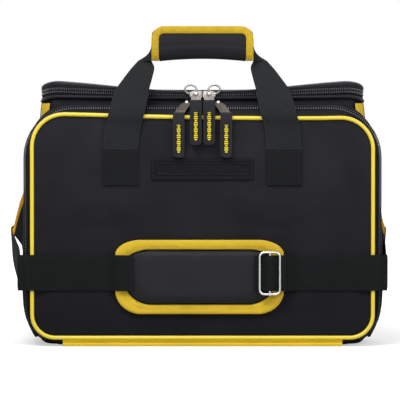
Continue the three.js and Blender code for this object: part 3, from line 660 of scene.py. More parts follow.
def bead_tree() -> bpy.types.NodeTree:
    """The node group that lays beads along lines, made once.

    Returns:
        The group, with the inputs Pitch, Size, Slant, Jitter, Seed and Finish.
    """
    name = "beads_along_a_line"
    if name in bpy.data.node_groups:
        return bpy.data.node_groups[name]
    tree = bpy.data.node_groups.new(name, "GeometryNodeTree")
    sockets = (("Geometry", "NodeSocketGeometry"), ("Pitch", "NodeSocketFloat"), ("Size", "NodeSocketVector"),
               ("Slant", "NodeSocketFloat"), ("Jitter", "NodeSocketFloat"), ("Seed", "NodeSocketInt"),
               ("Finish", "NodeSocketMaterial"))
    for word, kind in sockets:
        tree.interface.new_socket(name=word, in_out="INPUT", socket_type=kind)
    tree.interface.new_socket(name="Geometry", in_out="OUTPUT", socket_type="NodeSocketGeometry")
    graph = Graph(tree)
    given = graph.add("NodeGroupInput").outputs
    curve = graph.add("GeometryNodeMeshToCurve", {}, {"Mesh": given["Geometry"]}).outputs[0]
    even = graph.add("GeometryNodeResampleCurve", {"mode": "LENGTH"},
                     {"Curve": curve, "Length": given["Pitch"]}).outputs[0]
    up = graph.add("GeometryNodeInputNamedAttribute", {"data_type": "FLOAT_VECTOR"},
                   {"Name": "up"}).outputs[0]
    along = graph.add("GeometryNodeInputTangent").outputs[0]
    facing = graph.add("FunctionNodeAxesToRotation", {"primary_axis": "Z", "secondary_axis": "X"},
                       {"Primary Axis": up, "Secondary Axis": along}).outputs[0]
    least = graph.math("MULTIPLY", given["Jitter"], -1.0)
    chance = graph.add("FunctionNodeRandomValue", {"data_type": "FLOAT"},
                       {2: least, 3: given["Jitter"], 8: given["Seed"]})
    angle = graph.math("ADD", chance.outputs[1], given["Slant"])
    lean = graph.add("FunctionNodeAxisAngleToRotation", {}, {"Axis": (0, 0, 1), "Angle": angle}).outputs[0]
    turned = graph.add("FunctionNodeRotateRotation", {"rotation_space": "LOCAL"},
                       {"Rotation": facing, "Rotate By": lean}).outputs[0]
    ball = graph.add("GeometryNodeMeshUVSphere", {}, {"Segments": 8, "Rings": 5, "Radius": 0.5}).outputs[0]
    laid = graph.add("GeometryNodeInstanceOnPoints", {},
                     {"Points": even, "Instance": ball, "Rotation": turned,
                      "Scale": given["Size"]}).outputs[0]
    real = graph.add("GeometryNodeRealizeInstances", {}, {0: laid}).outputs[0]
    painted = graph.add("GeometryNodeSetMaterial", {},
                        {"Geometry": real, "Material": given["Finish"]}).outputs[0]
    graph.add("NodeGroupOutput", {}, {"Geometry": painted})
    return tree


def beads(name: str, runs: Sequence[Run], bead: Bead, material: bpy.types.Material) -> bpy.types.Object:
    """Lays beads along lines, such as the coil of a zip or a row of stitches.

    Args:
        name: The new piece's name.
        runs: The lines.
        bead: What repeats.
        material: Its finish.

    Returns:
        The new object, a plain mesh.
    """
    points = [p for run in runs for p in run.points]
    ups = [u for run in runs for u in run.ups]
    edges: list[tuple[int, int]] = []
    first = 0
    for run in runs:
        count = len(run.points)
        edges += [(first + i, first + i + 1) for i in range(count - 1)]
        if run.closed:
            edges.append((first + count - 1, first))
        first += count
    lines = bpy.data.meshes.new(name + "_lines")
    lines.from_pydata([tuple(p) for p in points], edges, [])
    facing = lines.attributes.new("up", "FLOAT_VECTOR", "POINT")
    for i, up in enumerate(ups):
        facing.data[i].vector = up
    holder = bpy.data.objects.new(name + "_lines", lines)
    bpy.context.scene.collection.objects.link(holder)
    tree = bead_tree()
    laying = holder.modifiers.new("beads", "NODES")
    laying.node_group = tree
    values = {"Pitch": bead.pitch * MM, "Size": tuple(s * MM for s in bead.size), "Slant": bead.slant,
              "Jitter": bead.jitter, "Seed": bead.seed, "Finish": material}
    for item in tree.interface.items_tree:
        if item.in_out == "INPUT" and item.name in values:
            laying[item.identifier] = values[item.name]
    holder.update_tag()
    seen = holder.evaluated_get(bpy.context.evaluated_depsgraph_get())
    mesh = bpy.data.meshes.new_from_object(seen)
    mesh.name = name
    bpy.data.objects.remove(holder)
    return link_mesh(mesh, material, ROUND_EDGE)


def sew(
    name: str, runs: Sequence[Run], bead: Bead, material: bpy.types.Material, body: str, slot: str
) -> bpy.types.Object:
    """Lays beads along lines and lets them ride on a body.

    Args:
        name: The new piece's name.
        runs: The lines.
        bead: The bead that repeats.
        material: Its finish.
        body: The body that it moves with.
        slot: The record's material slot.

    Returns:
        The piece.
    """
    return place(beads(name, runs, bead, material), body, slot)


def clamped(share: float) -> float:
    """A share held between 0 and 1."""
    return max(0.0, min(1.0, share))


def eased(share: float) -> float:
    """A share from 0 to 1 with a gentle start and end."""
    return share * share * (3 - 2 * share)


# The bag's shape, in millimetres


def node_box(node: str) -> tuple[Vector, Vector]:
    """The lowest and highest corner of a CAD node, in millimetres."""
    low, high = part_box(node)
    return low / MM, high / MM


SEAT = 0.3  # running gap between touching pieces
BODY_TOP = 193.0  # half width of the main compartment at its rim
BODY_BASE = node_box("main_shell")[1].x
BODY_FRONT = node_box("main_shell")[0].y
BODY_BACK = node_box("main_shell")[1].y
BODY_RIM = node_box("main_shell")[1].z
BODY_CORNER = 26.0
WALL = 4.0
LID_PART = 309.0  # height of the lid's zip at the bag's ends
LID_THICK = node_box("lid")[1].z - LID_PART
POD_HALF = node_box("front_tray")[1].x  # half width of the front compartment at its zip
POD_LOW = node_box("front_tray")[0].z
POD_HIGH = node_box("front_tray")[1].z
POD_ZIP = -87.0
FACE_Y = -100.0
FACE_HALF = 207.0
FACE_LOW = 8.0
FACE_HIGH = 279.0
WEBBING = 1.8
STRAP_WIDE = 43.0
PIPING_Y = FACE_Y - 0.8
PIPING_RADIUS = 2.4


def sag(x: float) -> float:
    """How far along to the middle of the bag x lies, from 0 at the ends to 1."""
    return max(0.0, 1 - (x / BODY_TOP) ** 2)


def droop(x: float) -> float:
    """How far the rim and the lid hang down at the bag's two ends."""
    return 5.5 * max(0.0, (abs(x) - 166) / 30) ** 3


def rim_z(x: float) -> float:
    """Height of the shell's rim at x."""
    return BODY_RIM - 2 * sag(x) - droop(x)


def part_z(x: float) -> float:
    """Height of the lid's zip at x."""
    return LID_PART - 5 * sag(x) - droop(x)


def top_z(x: float) -> float:
    """Height of the lid's top at x."""
    dip = sag(x)
    return LID_PART + LID_THICK + 1.9 - 1.5 * dip - 11.8 * dip * dip - droop(x)


def side_x(z: float) -> float:
    """Half width of the main compartment at a height."""
    return BODY_BASE + (BODY_TOP - BODY_BASE) * z / BODY_RIM


def flare(at: Vector) -> float:
    """How far the padded front corners fill out under the rim, for a point in millimetres."""
    fall = 1 - 0.45 * clamped((at.z - 272) / 24)
    return 4.8 * eased(clamped((at.z - 198) / 62)) * fall * clamped((14 - at.y) / 45)


def plan(half: float, grow: float, height: Callable[[float], float], along: int = 18) -> Ring:
    """One level of the main compartment seen from above.

    Args:
        half: Its half width before growing.
        grow: How far it stands out from that.
        height: Height of the level at each x.
        along: Points along each straight side.

    Returns:
        The ring of points in metres.
    """
    radius = max(BODY_CORNER + grow, 0.8)
    outline = rounded(-half - grow, half + grow, BODY_FRONT - grow, BODY_BACK + grow, radius, radius, 7,
                      along)
    return [mm(x, y, height(x)) for x, y in outline]


def pod(
    y: float, half: float, low: float, high: float, inset: float = 0.0, lower: float = 48.0,
    upper: float = 60.0
) -> Ring:
    """One level of the front compartment seen from the front, at depth y, with its corners' radii."""
    outline = rounded(-half + inset, half - inset, low + inset, high - inset, lower - inset, upper - inset, 9,
                      16)
    return [mm(x, y, z) for x, z in outline]


def lumps(at: Vector, size: float, shift: float = 0.0) -> float:
    """A smooth noise from -1 to 1 whose lumps are about size millimetres across."""
    return noise.noise(at / (size * MM) + Vector((shift, 2 * shift, -shift)))


def move(mesh: bpy.types.Mesh, shift: Callable[[Vector], Vector]) -> bpy.types.Mesh:
    """Moves each point of a mesh by what shift gives for it, in millimetres."""
    for vertex in mesh.vertices:
        vertex.co += shift(vertex.co.copy()) * MM
    mesh.update()
    return mesh


def paint(mesh: bpy.types.Mesh, second: bpy.types.Material, where: Callable[[Vector, Vector], bool]) -> None:
    """Gives one more material to the faces whose middle and normal satisfy a test."""
    mesh.materials.append(second)
    last = len(mesh.materials) - 1
    for face in mesh.polygons:
        if where(face.center / MM, face.normal):
            face.material_index = last


@dataclass
class Body:
    """The sewn main compartment: shell, lining, board, divider and corner bindings."""

    finishes: Finishes

    def build(self) -> None:
        """Makes every piece of the main compartment."""
        self.shell()
        self.corner_bindings()
        self.inside()

    def shell(self) -> None:
        """Padded walls, softly caved in between their seams, with a lined inside."""
        levels = [plan(side_x(z), -1.6 if z < 12 else 0, lambda x, z=z: z)
                  for z in (11, 22, 40, 60, 85, 110, 135, 160, 185, 210, 235, 255, 272, 285)]
        rings = [plan(BODY_BASE, -13, lambda x: 0.0), plan(BODY_BASE, -9.5, lambda x: 0.8),
                 plan(BODY_BASE, -6, lambda x: 3.0), plan(BODY_BASE, -3.2, lambda x: 6.5), *levels,
                 plan(BODY_TOP, 0, lambda x: rim_z(x) - 2), plan(BODY_TOP, -1.2, rim_z),
                 plan(BODY_TOP, -2.8, rim_z),
                 plan(BODY_TOP, -WALL, lambda x: rim_z(x) - 2),
                 *[plan(side_x(z), -WALL, lambda x, z=z: z) for z in (250, 180, 110, 50)],
                 plan(BODY_BASE, -WALL - 1, lambda x: 14.0), plan(BODY_BASE, -WALL - 6, lambda x: 3.0)]
        mesh = loft("main_shell_cloth", rings)
        mesh = move(mesh, self.cave)
        made = link_mesh(mesh, self.finishes["body_cloth"], FLAT_EDGE)
        paint(mesh, self.finishes["lining_cloth"], lambda at, n: self.is_inside(at))
        place(made, "bag_body", "black_cloth", "main_shell")

    @staticmethod
    def is_inside(at: Vector) -> bool:
        """Whether a point lies on the lining."""
        return (abs(at.x) < side_x(at.z) - 3 and BODY_FRONT + 3 < at.y < BODY_BACK - 3) and at.z > 1.5

    @staticmethod
    def cave(at: Vector) -> Vector:
        """How far the cloth sinks in at a point of the outside."""
        place_mm = at / MM
        if Body.is_inside(place_mm):
            return Vector()
        outward = math.copysign(1, place_mm.x) if abs(place_mm.x) > 160 else 0
        filled = Vector((outward * flare(place_mm), 0, 0))
        fade = max(0.0, min(1.0, (place_mm.z - 12) / 30, (288 - place_mm.z) / 30))
        depth = 0.8 * max(0.0, fade * (0.9 + 0.9 * lumps(at, 70, 3) + 0.35 * lumps(at, 24, 5)))
        back = -1 if place_mm.y > 74 else (1 if place_mm.y < -48 else 0)
        return filled + Vector((-outward * depth, back * depth, 0))

    def corner_bindings(self) -> None:
        """Bound seams up the two front corners."""
        for side in Side:
            lean = Vector((side.value, -1, 0)).normalized()
            stand = BODY_CORNER + SEAT + 0.9
            sections = []
            for i in range(29):
                z = 8 + i * (BODY_RIM - 14) / 28
                at = mm(side.value * (side_x(z) - BODY_CORNER), BODY_FRONT + BODY_CORNER,
                        z) + lean * stand * MM
                at.x += side.value * flare(at / MM) * MM
                sections.append(Section(at, Vector((1, side.value, 0)), lean,
                                        0.0136 + 0.0003 * math.sin(i * 1.7)))
            name = f"corner_binding_{side.word}"
            mesh = strip(name + "_tape", sections, 0.0012, 8, 0.0009)
            attach(mesh, self.finishes["trim_tape"], FOLD_EDGE, "bag_body", "yellow_trim", name)

    def inside(self) -> None:
        """Stiff base board and padded tool divider."""
        place(refined("base_board_panel", "base_board", self.finishes["board"], 0.0008), "bag_body",
              "stiff_board")
        low, high = node_box("tool_divider")
        middle, half = (low.y + high.y) / 2, (high.y - low.y) / 2
        rings = []
        for i in range(13):
            z = low.z + (high.z - low.z) * i / 12
            wide = side_x(z) - WALL - SEAT
            flat = rounded(-wide, wide, middle - half, middle + half, 1.8, 1.8, 4, 22)
            rings.append([mm(x, y, z) for x, y in flat])
        mesh = move(loft("tool_divider_pad", rings),
                    lambda p: Vector((0, 0.5 * lumps(p, 60) * (p.z / MM > 12), 0)))
        attach(mesh, self.finishes["lining_cloth"], FLAT_EDGE, "bag_body", "lining", "tool_divider")
        top = [mm(x, middle, high.z + 0.3) for x in range(-188, 189, 8)]
        binding = tube("divider_top_binding", top, 0.0022, REAR, 10, around=False)
        attach(binding, self.finishes["smooth_cloth"], 40, "bag_body", "lining")


@dataclass
class Lid:
    """The padded lid, the two halves of its zip and the welt under them."""

    finishes: Finishes

    def build(self) -> None:
        """Makes the lid and its zip."""
        self.top()
        self.band()
        self.coils()
        self.back_tape()

    def top(self) -> None:
        """The lid's padded top, crowned between its seams and dipping at the middle of the bag."""

        def level(share: float, grow: float) -> Ring:
            return plan(BODY_TOP, grow,
                        lambda x: part_z(x) + SEAT / 2 + share * (top_z(x) - part_z(x) - SEAT / 2))

        deep = (BODY_BACK - BODY_FRONT) / 2 - 1
        edge = ((0, 2.0), (0.28, 2.0), (0.36, 2.9), (0.68, 3.0), (0.8, 2.5), (0.9, 0.6), (0.93, -2),
                (0.97, -7), (1, -12))
        rings = [level(0, -share * deep) for share in (1, 0.6, 0.25)] + [level(*at) for at in edge]
        rings += [level(1, -share * deep) for share in (0.25, 0.4, 0.6, 0.8, 1)]
        mesh = loft("lid_cloth", rings)

        def rumple(at: Vector) -> Vector:
            x, y, z = at / MM
            if z < top_z(x) - 0.9:
                return Vector()
            inside = min(BODY_TOP - abs(x), y - BODY_FRONT, BODY_BACK - y)
            fade = clamped((inside - 6) / 40)
            return Vector((0, 0, fade * (0.9 * lumps(at, 80, 7) + 0.5 * lumps(at, 30, 2) - 0.6)))

        attach(move(mesh, rumple), self.finishes["smooth_cloth"], 55, "lid_body", "black_cloth", "lid")

    def band(self) -> None:
        """The lower zip tape, and the smooth welt that the zip is sewn to."""
        rings = [plan(BODY_TOP, grow, lambda x, rise=rise: rim_z(x) + rise) for grow, rise in
                 ((-WALL, SEAT), (1, SEAT), (3.2, 0.7), (4.0, 1.9), (4.0, 3.1), (3.4, 4.2), (2.2, 4.9))]
        rings += [plan(BODY_TOP, grow, lambda x: part_z(x) - SEAT / 2) for grow in (2.0, -WALL)]
        mesh = loft("lid_zip_welt", rings, around=True)
        made = link_mesh(mesh, self.finishes["smooth_cloth"], 55)
        paint(mesh, self.finishes["zip_tape"], lambda at, n: at.z > rim_z(at.x) + 4.5)
        place(made, "bag_body", "black_cloth", "lid_zip_band")

    def line(self, stand: float, height: Callable[[float], float]) -> Run:
        """The line of the zip round the front and the two ends of the bag."""
        ring = plan(BODY_TOP, stand, height, 60)
        kept = [p for p in ring if p.y / MM < BODY_BACK - 24]
        return opened(kept, UP, lambda p: Vector((p.x, p.y - 0.013, 0)))

    def coils(self) -> None:
        """The zip's two coils, the lid's edge seam and the stitches beside them."""
        tooth = Bead(2.6, (1.05, 3.2, 1.6), slant=0.22, jitter=0.03)
        upper = self.line(2.1, lambda x: part_z(x) + 1.9)
        lower = self.line(2.1, lambda x: part_z(x) - 1.9)
        sew("lid_coil_upper", [upper], tooth, self.finishes["zip_coil"], "lid_body", "zip_tape")
        sew("lid_coil_lower", [lower], tooth, self.finishes["zip_coil"], "bag_body", "zip_tape")
        seam = Bead(2.9, (2.2, 0.55, 0.5), jitter=0.04, seed=8)
        edge = self.line(3.1, lambda x: part_z(x) + 0.62 * (top_z(x) - part_z(x)))
        sew("lid_edge_stitches", [edge], seam, self.finishes["stitching"], "lid_body", "black_cloth")

    def back_tape(self) -> None:
        """The tape along the back that hinges the lid to the bag."""
        sections = [Section(mm(x, BODY_BACK + 4.9, part_z(x)), UP, REAR, 0.013)
                    for x in range(-160, 161, 8)]
        mesh = strip("lid_back_tape", sections, 0.0012, 12)
        made = link_mesh(mesh, self.finishes["smooth_cloth"], FOLD_EDGE)
        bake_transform(made)
        LOG.info("%s bends between the bag and the lid", made.name)


@dataclass
class FrontCompartment:
    """The flat compartment on the front: a fixed tray, the panel that folds down, piping and zip."""

    finishes: Finishes
    open_half: float = node_box("front_hinge_strip")[1].x  # half width of the hinge along the bottom

    def build(self) -> None:
        """Makes the compartment."""
        self.tray()
        self.panel()
        self.piping()
        self.zips()
        self.floor()

    def tray(self) -> None:
        """The rear half, sewn to the bag."""
        rear, front = BODY_FRONT - SEAT, POD_ZIP + SEAT / 2
        wall = 2.5
        size = (POD_HALF, POD_LOW, POD_HIGH)
        rings = [pod(rear, *size, 30), pod(rear, *size, 0.8), pod(rear - 0.8, *size), pod(rear - 4, *size),
                 pod(rear - 9, *size), pod(front + 0.5, *size), pod(front, *size, 0.6),
                 pod(front, *size, wall - 0.4),
                 pod(front + 0.6, *size, wall), pod(rear - wall, *size, wall), pod(rear - wall, *size, 32)]
        mesh = move(loft("front_tray_cloth", rings), self.slope)
        made = link_mesh(mesh, self.finishes["gusset_cloth"], 45)
        paint(mesh, self.finishes["lining_cloth"],
              lambda at, n: n.x * at.x + n.z * (at.z - 140) < -5 or (n.y < -0.9 and at.y > POD_ZIP + 3))
        place(made, "bag_body", "black_cloth", "front_tray")

    @staticmethod
    def slope(at: Vector) -> Vector:
        """How far the top of the rear half rises towards the bag."""
        share = max(0.0, (at.y / MM - POD_ZIP) / (BODY_FRONT - POD_ZIP))
        high = clamped((at.z / MM - 236) / 48)
        return Vector((0, 0, 7.0 * share * eased(high)))

    def panel(self) -> None:
        """The padded front panel with its half of the gusset, a little fuller between the seams."""
        rear = POD_ZIP - SEAT / 2
        half, low, high = POD_HALF, POD_LOW, POD_HIGH
        face = (FACE_HALF, FACE_LOW - 3, FACE_HIGH + 1)
        centre = mm(0, FACE_Y, (FACE_LOW + FACE_HIGH) / 2)
        rings = [[p.lerp(centre, share) for p in pod(FACE_Y, *face, 26, 34, 48)]
                 for share in (0.95, 0.84, 0.72, 0.6, 0.48, 0.36, 0.24, 0.12, 0)]
        rings += [pod(FACE_Y, *face, inset, 34, 48) for inset in (22, 14, 9, 5.6, 1.6)]
        rings += [pod(FACE_Y + 0.5, FACE_HALF - 0.4, FACE_LOW - 2.6, FACE_HIGH + 0.6, 0, 34, 48),
                  pod(FACE_Y + 1.6, half - 4, low + 3.4, high - 5.7, 0, 40, 52),
                  pod(FACE_Y + 3.5, half - 3, low + 2.4, high - 4.8, 0, 44, 56),
                  pod(FACE_Y + 5, half - 2.6, low + 1.6, high - 4),
                  pod(FACE_Y + 7, half - 2.2, low + 1, high - 3),
                  pod(rear - 3, half - 1.2, low, high - 1.2), pod(rear - 0.5, half, low, high),
                  pod(rear, half, low, high, 0.5),
                  pod(rear, half, low, high, 2.1), pod(rear - 4, half, low, high, 2.5)]
        rear_face = FACE_Y + 4
        rings += [[p.lerp(mm(0, rear_face, 140), share) for p in pod(rear_face, half - 3, low + 3, high - 3,
                                                                     2.5)]
                  for share in (0, 0.5, 0.95)]
        mesh = move(loft("front_panel_cloth", rings), self.fullness)
        self.cut_hinge_side(mesh)
        made = link_mesh(mesh, self.finishes["panel_cloth"], FLAT_EDGE)
        paint(mesh, self.finishes["gusset_cloth"], lambda at, n: at.y > FACE_Y + 0.9)
        # painted light: the panel's lowest faces get the brighter copy of the tape
        paint(mesh, self.finishes["foot_tape"], lambda at, n: at.z < 8.8 and abs(at.x) < self.open_half)
        place(made, "panel_body", "black_cloth", "front_panel")

    def cut_hinge_side(self, mesh: bpy.types.Mesh) -> None:
        """Takes the gusset away along the bottom, where the panel is hinged."""
        shape = bmesh.new()
        shape.from_mesh(mesh)
        for x in (-self.open_half, self.open_half):
            bmesh.ops.bisect_plane(shape, geom=[*shape.verts, *shape.edges, *shape.faces],
                                   plane_co=mm(x, 0, 0), plane_no=(1, 0, 0))
        bmesh.ops.bisect_plane(shape, geom=[*shape.verts, *shape.edges, *shape.faces],
                               plane_co=mm(0, 0, FACE_LOW - 2.7), plane_no=(0, 0, 1))
        gone = [f for f in shape.faces
                if abs(f.calc_center_median().x) < self.open_half * MM
                and f.calc_center_median().z < (FACE_LOW - 2.7) * MM]
        bmesh.ops.delete(shape, geom=gone, context="FACES")
        bmesh.ops.holes_fill(shape, edges=[e for e in shape.edges if e.is_boundary], sides=0)
        bmesh.ops.recalc_face_normals(shape, faces=shape.faces)
        shape.to_mesh(mesh)
        shape.free()

    @staticmethod
    def fullness(at: Vector) -> Vector:
        """How far a point of the panel's face moves out, or in beside the straps."""
        x, y, z = at / MM
        if y > FACE_Y + 0.05:
            return Vector()
        edge = min(FACE_HALF - abs(x), z - FACE_LOW, FACE_HIGH - z)
        fade = clamped((edge - 8) / 25)
        held = max(min(1.0, (84 - abs(x)) / 20, (z - 174) / 20, (248 - z) / 20),
                   min(1.0, (abs(x) - 54) / 20, (142 - abs(x)) / 20, (z - 168) / 20),
                   min(1.0, (z - 14) / 20, (154 - z) / 20), 0.0)
        full = 0.1 + 0.8 * lumps(at, 90, 1) + 0.4 * lumps(at, 34, 9)
        return Vector((0, fade * (0.35 * held - (1 - held) * full), 0))

    def piping(self) -> None:
        """Glossy corded piping round the panel, with the dark seam beside it."""
        radius = PIPING_RADIUS
        outline = rounded(-FACE_HALF + radius, FACE_HALF - radius, FACE_LOW + radius, FACE_HIGH - radius,
                          30 - radius, 41 - radius, 12, 40)
        path = [mm(x, PIPING_Y + 0.12 * math.sin(x / 17 + z / 23), z - self.slack(x, z)) for x, z in outline]
        mesh = tube("panel_piping", path, radius * MM, FRONT, 16)
        attach(mesh, self.finishes["piping_vinyl"], 70, "panel_body", "yellow_trim", "piping")
        inner = rounded(-FACE_HALF + 9, FACE_HALF - 9, FACE_LOW + 9, FACE_HIGH - 9, 24, 35, 10, 30)
        row = [mm(x, FACE_Y + 0.1, z - self.slack(x, z)) for x, z in inner]
        seam = faced(row, closed=True)
        sew("panel_seam_stitches", [seam], Bead(3.4, (2.5, 0.6, 0.5), jitter=0.05),
            self.finishes["stitching"], "panel_body", "black_cloth")

    @staticmethod
    def slack(x: float, z: float) -> float:
        """How far the piping hangs down along the panel's top, less at the left than at the right."""
        bow = 1.8 * max(0.0, 1 - (x / 165) ** 2)
        skew = 2.1 * max(-1.0, min(1.0, x / 140))
        return clamped((z - 200) / 60) * (bow + skew)

    def edge_run(self, grow: float, y: float, lean: float = 0.0) -> Run:
        """The zip's line round three sides of the compartment, leaning towards the front."""
        ring = pod(y, POD_HALF, POD_LOW, POD_HIGH, -grow)
        kept = [p for p in ring if p.z > 5 * MM]
        return opened(kept, REAR, lambda p: p - mm(0, y, 140), lean)

    def zips(self) -> None:
        """The two zip tapes and their coils."""
        for word, body, sign in (("rear", "bag_body", 1), ("front", "panel_body", -1)):
            middle = POD_ZIP + sign * (SEAT / 2 + 1.75)
            run = self.edge_run(SEAT + 0.5, middle)
            sections = [Section(p, REAR, u, 0.0034) for p, u in zip(run.points, run.ups)]
            name = f"front_zip_{word}"
            attach(strip(name + "_tape", sections, 0.0009, 4), self.finishes["zip_tape"], FLAT_EDGE, body,
                   "zip_tape", name)
            rear = sign > 0
            coil_line = self.edge_run(SEAT + 1.25, POD_ZIP + 1.9) if rear else self.edge_run(-0.9, -92.0, 1.3)
            sew(name + "_coil", [coil_line], Bead(2.7, (1.2, 2.9, 1.5), slant=0.2, jitter=0.03),
                self.finishes["zip_coil" if rear else "pale_coil"], body, "zip_tape")

    def floor(self) -> None:
        """The compartment's floor and the bound edge that the panel hinges on."""
        place(refined("front_floor_cloth", "front_floor", self.finishes["lining_cloth"], 0.0006), "bag_body",
              "black_cloth")
        low, high = node_box("front_hinge_strip")
        rings = []
        for i in range(43):
            x = low.x + (high.x - low.x) * i / 42
            wave = 0.15 * math.sin(i * 1.9)
            flat = rounded(low.y + 0.1, high.y, low.z, high.z + wave, 1.3, 1.3, 4)
            rings.append([mm(x, y, z) for y, z in flat])
        mesh = loft("hinge_edge_binding", rings)
        # painted light: the hinge binding gets the brighter copy of the tape
        attach(mesh, self.finishes["foot_tape"], FOLD_EDGE, "bag_body", "yellow_trim", "front_hinge_strip")
        row = [mm(x, low.y, 2.6) for x in range(-166, 167, 6)]
        sew("hinge_edge_stitches", [faced(row)], Bead(3.6, (2.6, 0.6, 0.5), jitter=0.05),
            self.finishes["yellow_thread"], "bag_body", "yellow_trim")


def strap_end(finishes: Finishes, node: str, middle_y: float, facing: int, body: str) -> None:
    """The stretch of a handle strap that is stitched down, with its box and cross of thread.

    Args:
        finishes: The materials.
        node: The CAD node that it stands for.
        middle_y: Middle of its thickness, in mm.
        facing: -1 on the front of the bag, 1 on the back.
        body: The body that it rides on.
    """
    low, high = node_box(node)
    x = (low.x + high.x) / 2
    out = Vector((0, facing, 0))
    sections = [Section(mm(x, middle_y, low.z + (high.z - low.z) * i / 12), Vector((1, 0, 0)),
                        out) for i in range(13)]
    mesh = strip(node + "_webbing", sections, WEBBING * MM)
    # painted shade: the stitched-down end gets the darker copy of the webbing
    attach(mesh, finishes["stitched_webbing"], FLAT_EDGE, body, "webbing", node)
    half, foot, top = STRAP_WIDE / 2 - 3, low.z + 3, high.z - 2
    face = middle_y + facing * (WEBBING / 2 + STITCH_STAND)
    corners = [(x - half, foot), (x + half, foot), (x + half, top), (x - half, top)]
    lines = [[corners[i], corners[(i + 1) % 4]] for i in range(4)]
    lines += [[corners[0], corners[2]], [corners[1], corners[3]]]
    runs = [Run([mm(a[0] + (b[0] - a[0]) * t / 9, face, a[1] + (b[1] - a[1]) * t / 9) for t in range(10)],
                [out] * 10)
            for a, b in lines]
    sew(node + "_stitches", runs, Bead(3.0, (2.3, 0.6, 0.5), jitter=0.06), finishes["stitching"], body,
        "webbing")


@dataclass
class PanelTrim:
    """What is sewn to the panel's face: label patch, strap ends and their stitching."""

    finishes: Finishes
    rear: float = FACE_Y - SEAT

    def build(self) -> None:
        """Makes the patch and the stitched strap ends."""
        self.patch()
        for side in Side:
            strap_end(self.finishes, f"handle_strap_end_{side.word}", self.rear - WEBBING / 2, -1,
                      "panel_body")

    def patch(self) -> None:
        """A bare moulded patch with a raised border."""
        low, high = node_box("label_patch")
        thick = high.y - low.y
        steps = ((0, 0), (0, thick - 0.5), (0.5, thick), (3.2, thick), (3.8, thick - 0.5), (4.8, thick - 0.5),
                 (5.4, thick - 0.1), (6.2, thick - 0.1), (6.8, thick - 0.5), (9.5, thick - 0.5))
        rings = []
        for inset, stand in steps:
            flat = rounded(low.x + inset, high.x - inset, low.z + inset, high.z - inset, 1.6, 1.6, 4, 8)
            rings.append([mm(x, high.y - stand, z) for x, z in flat])
        mesh = loft("blank_label_patch", rings)
        attach(mesh, self.finishes["patch_rubber"], 30, "panel_body", "rubber", "label_patch")
        flat = rounded(low.x + 1.8, high.x - 1.8, low.z + 1.8, high.z - 1.8, 1, 1, 3, 6)
        line = faced([mm(x, low.y - STITCH_STAND, z) for x, z in flat], closed=True)
        sew("label_stitches", [line], FINE_STITCH, self.finishes["stitching"], "panel_body", "rubber")


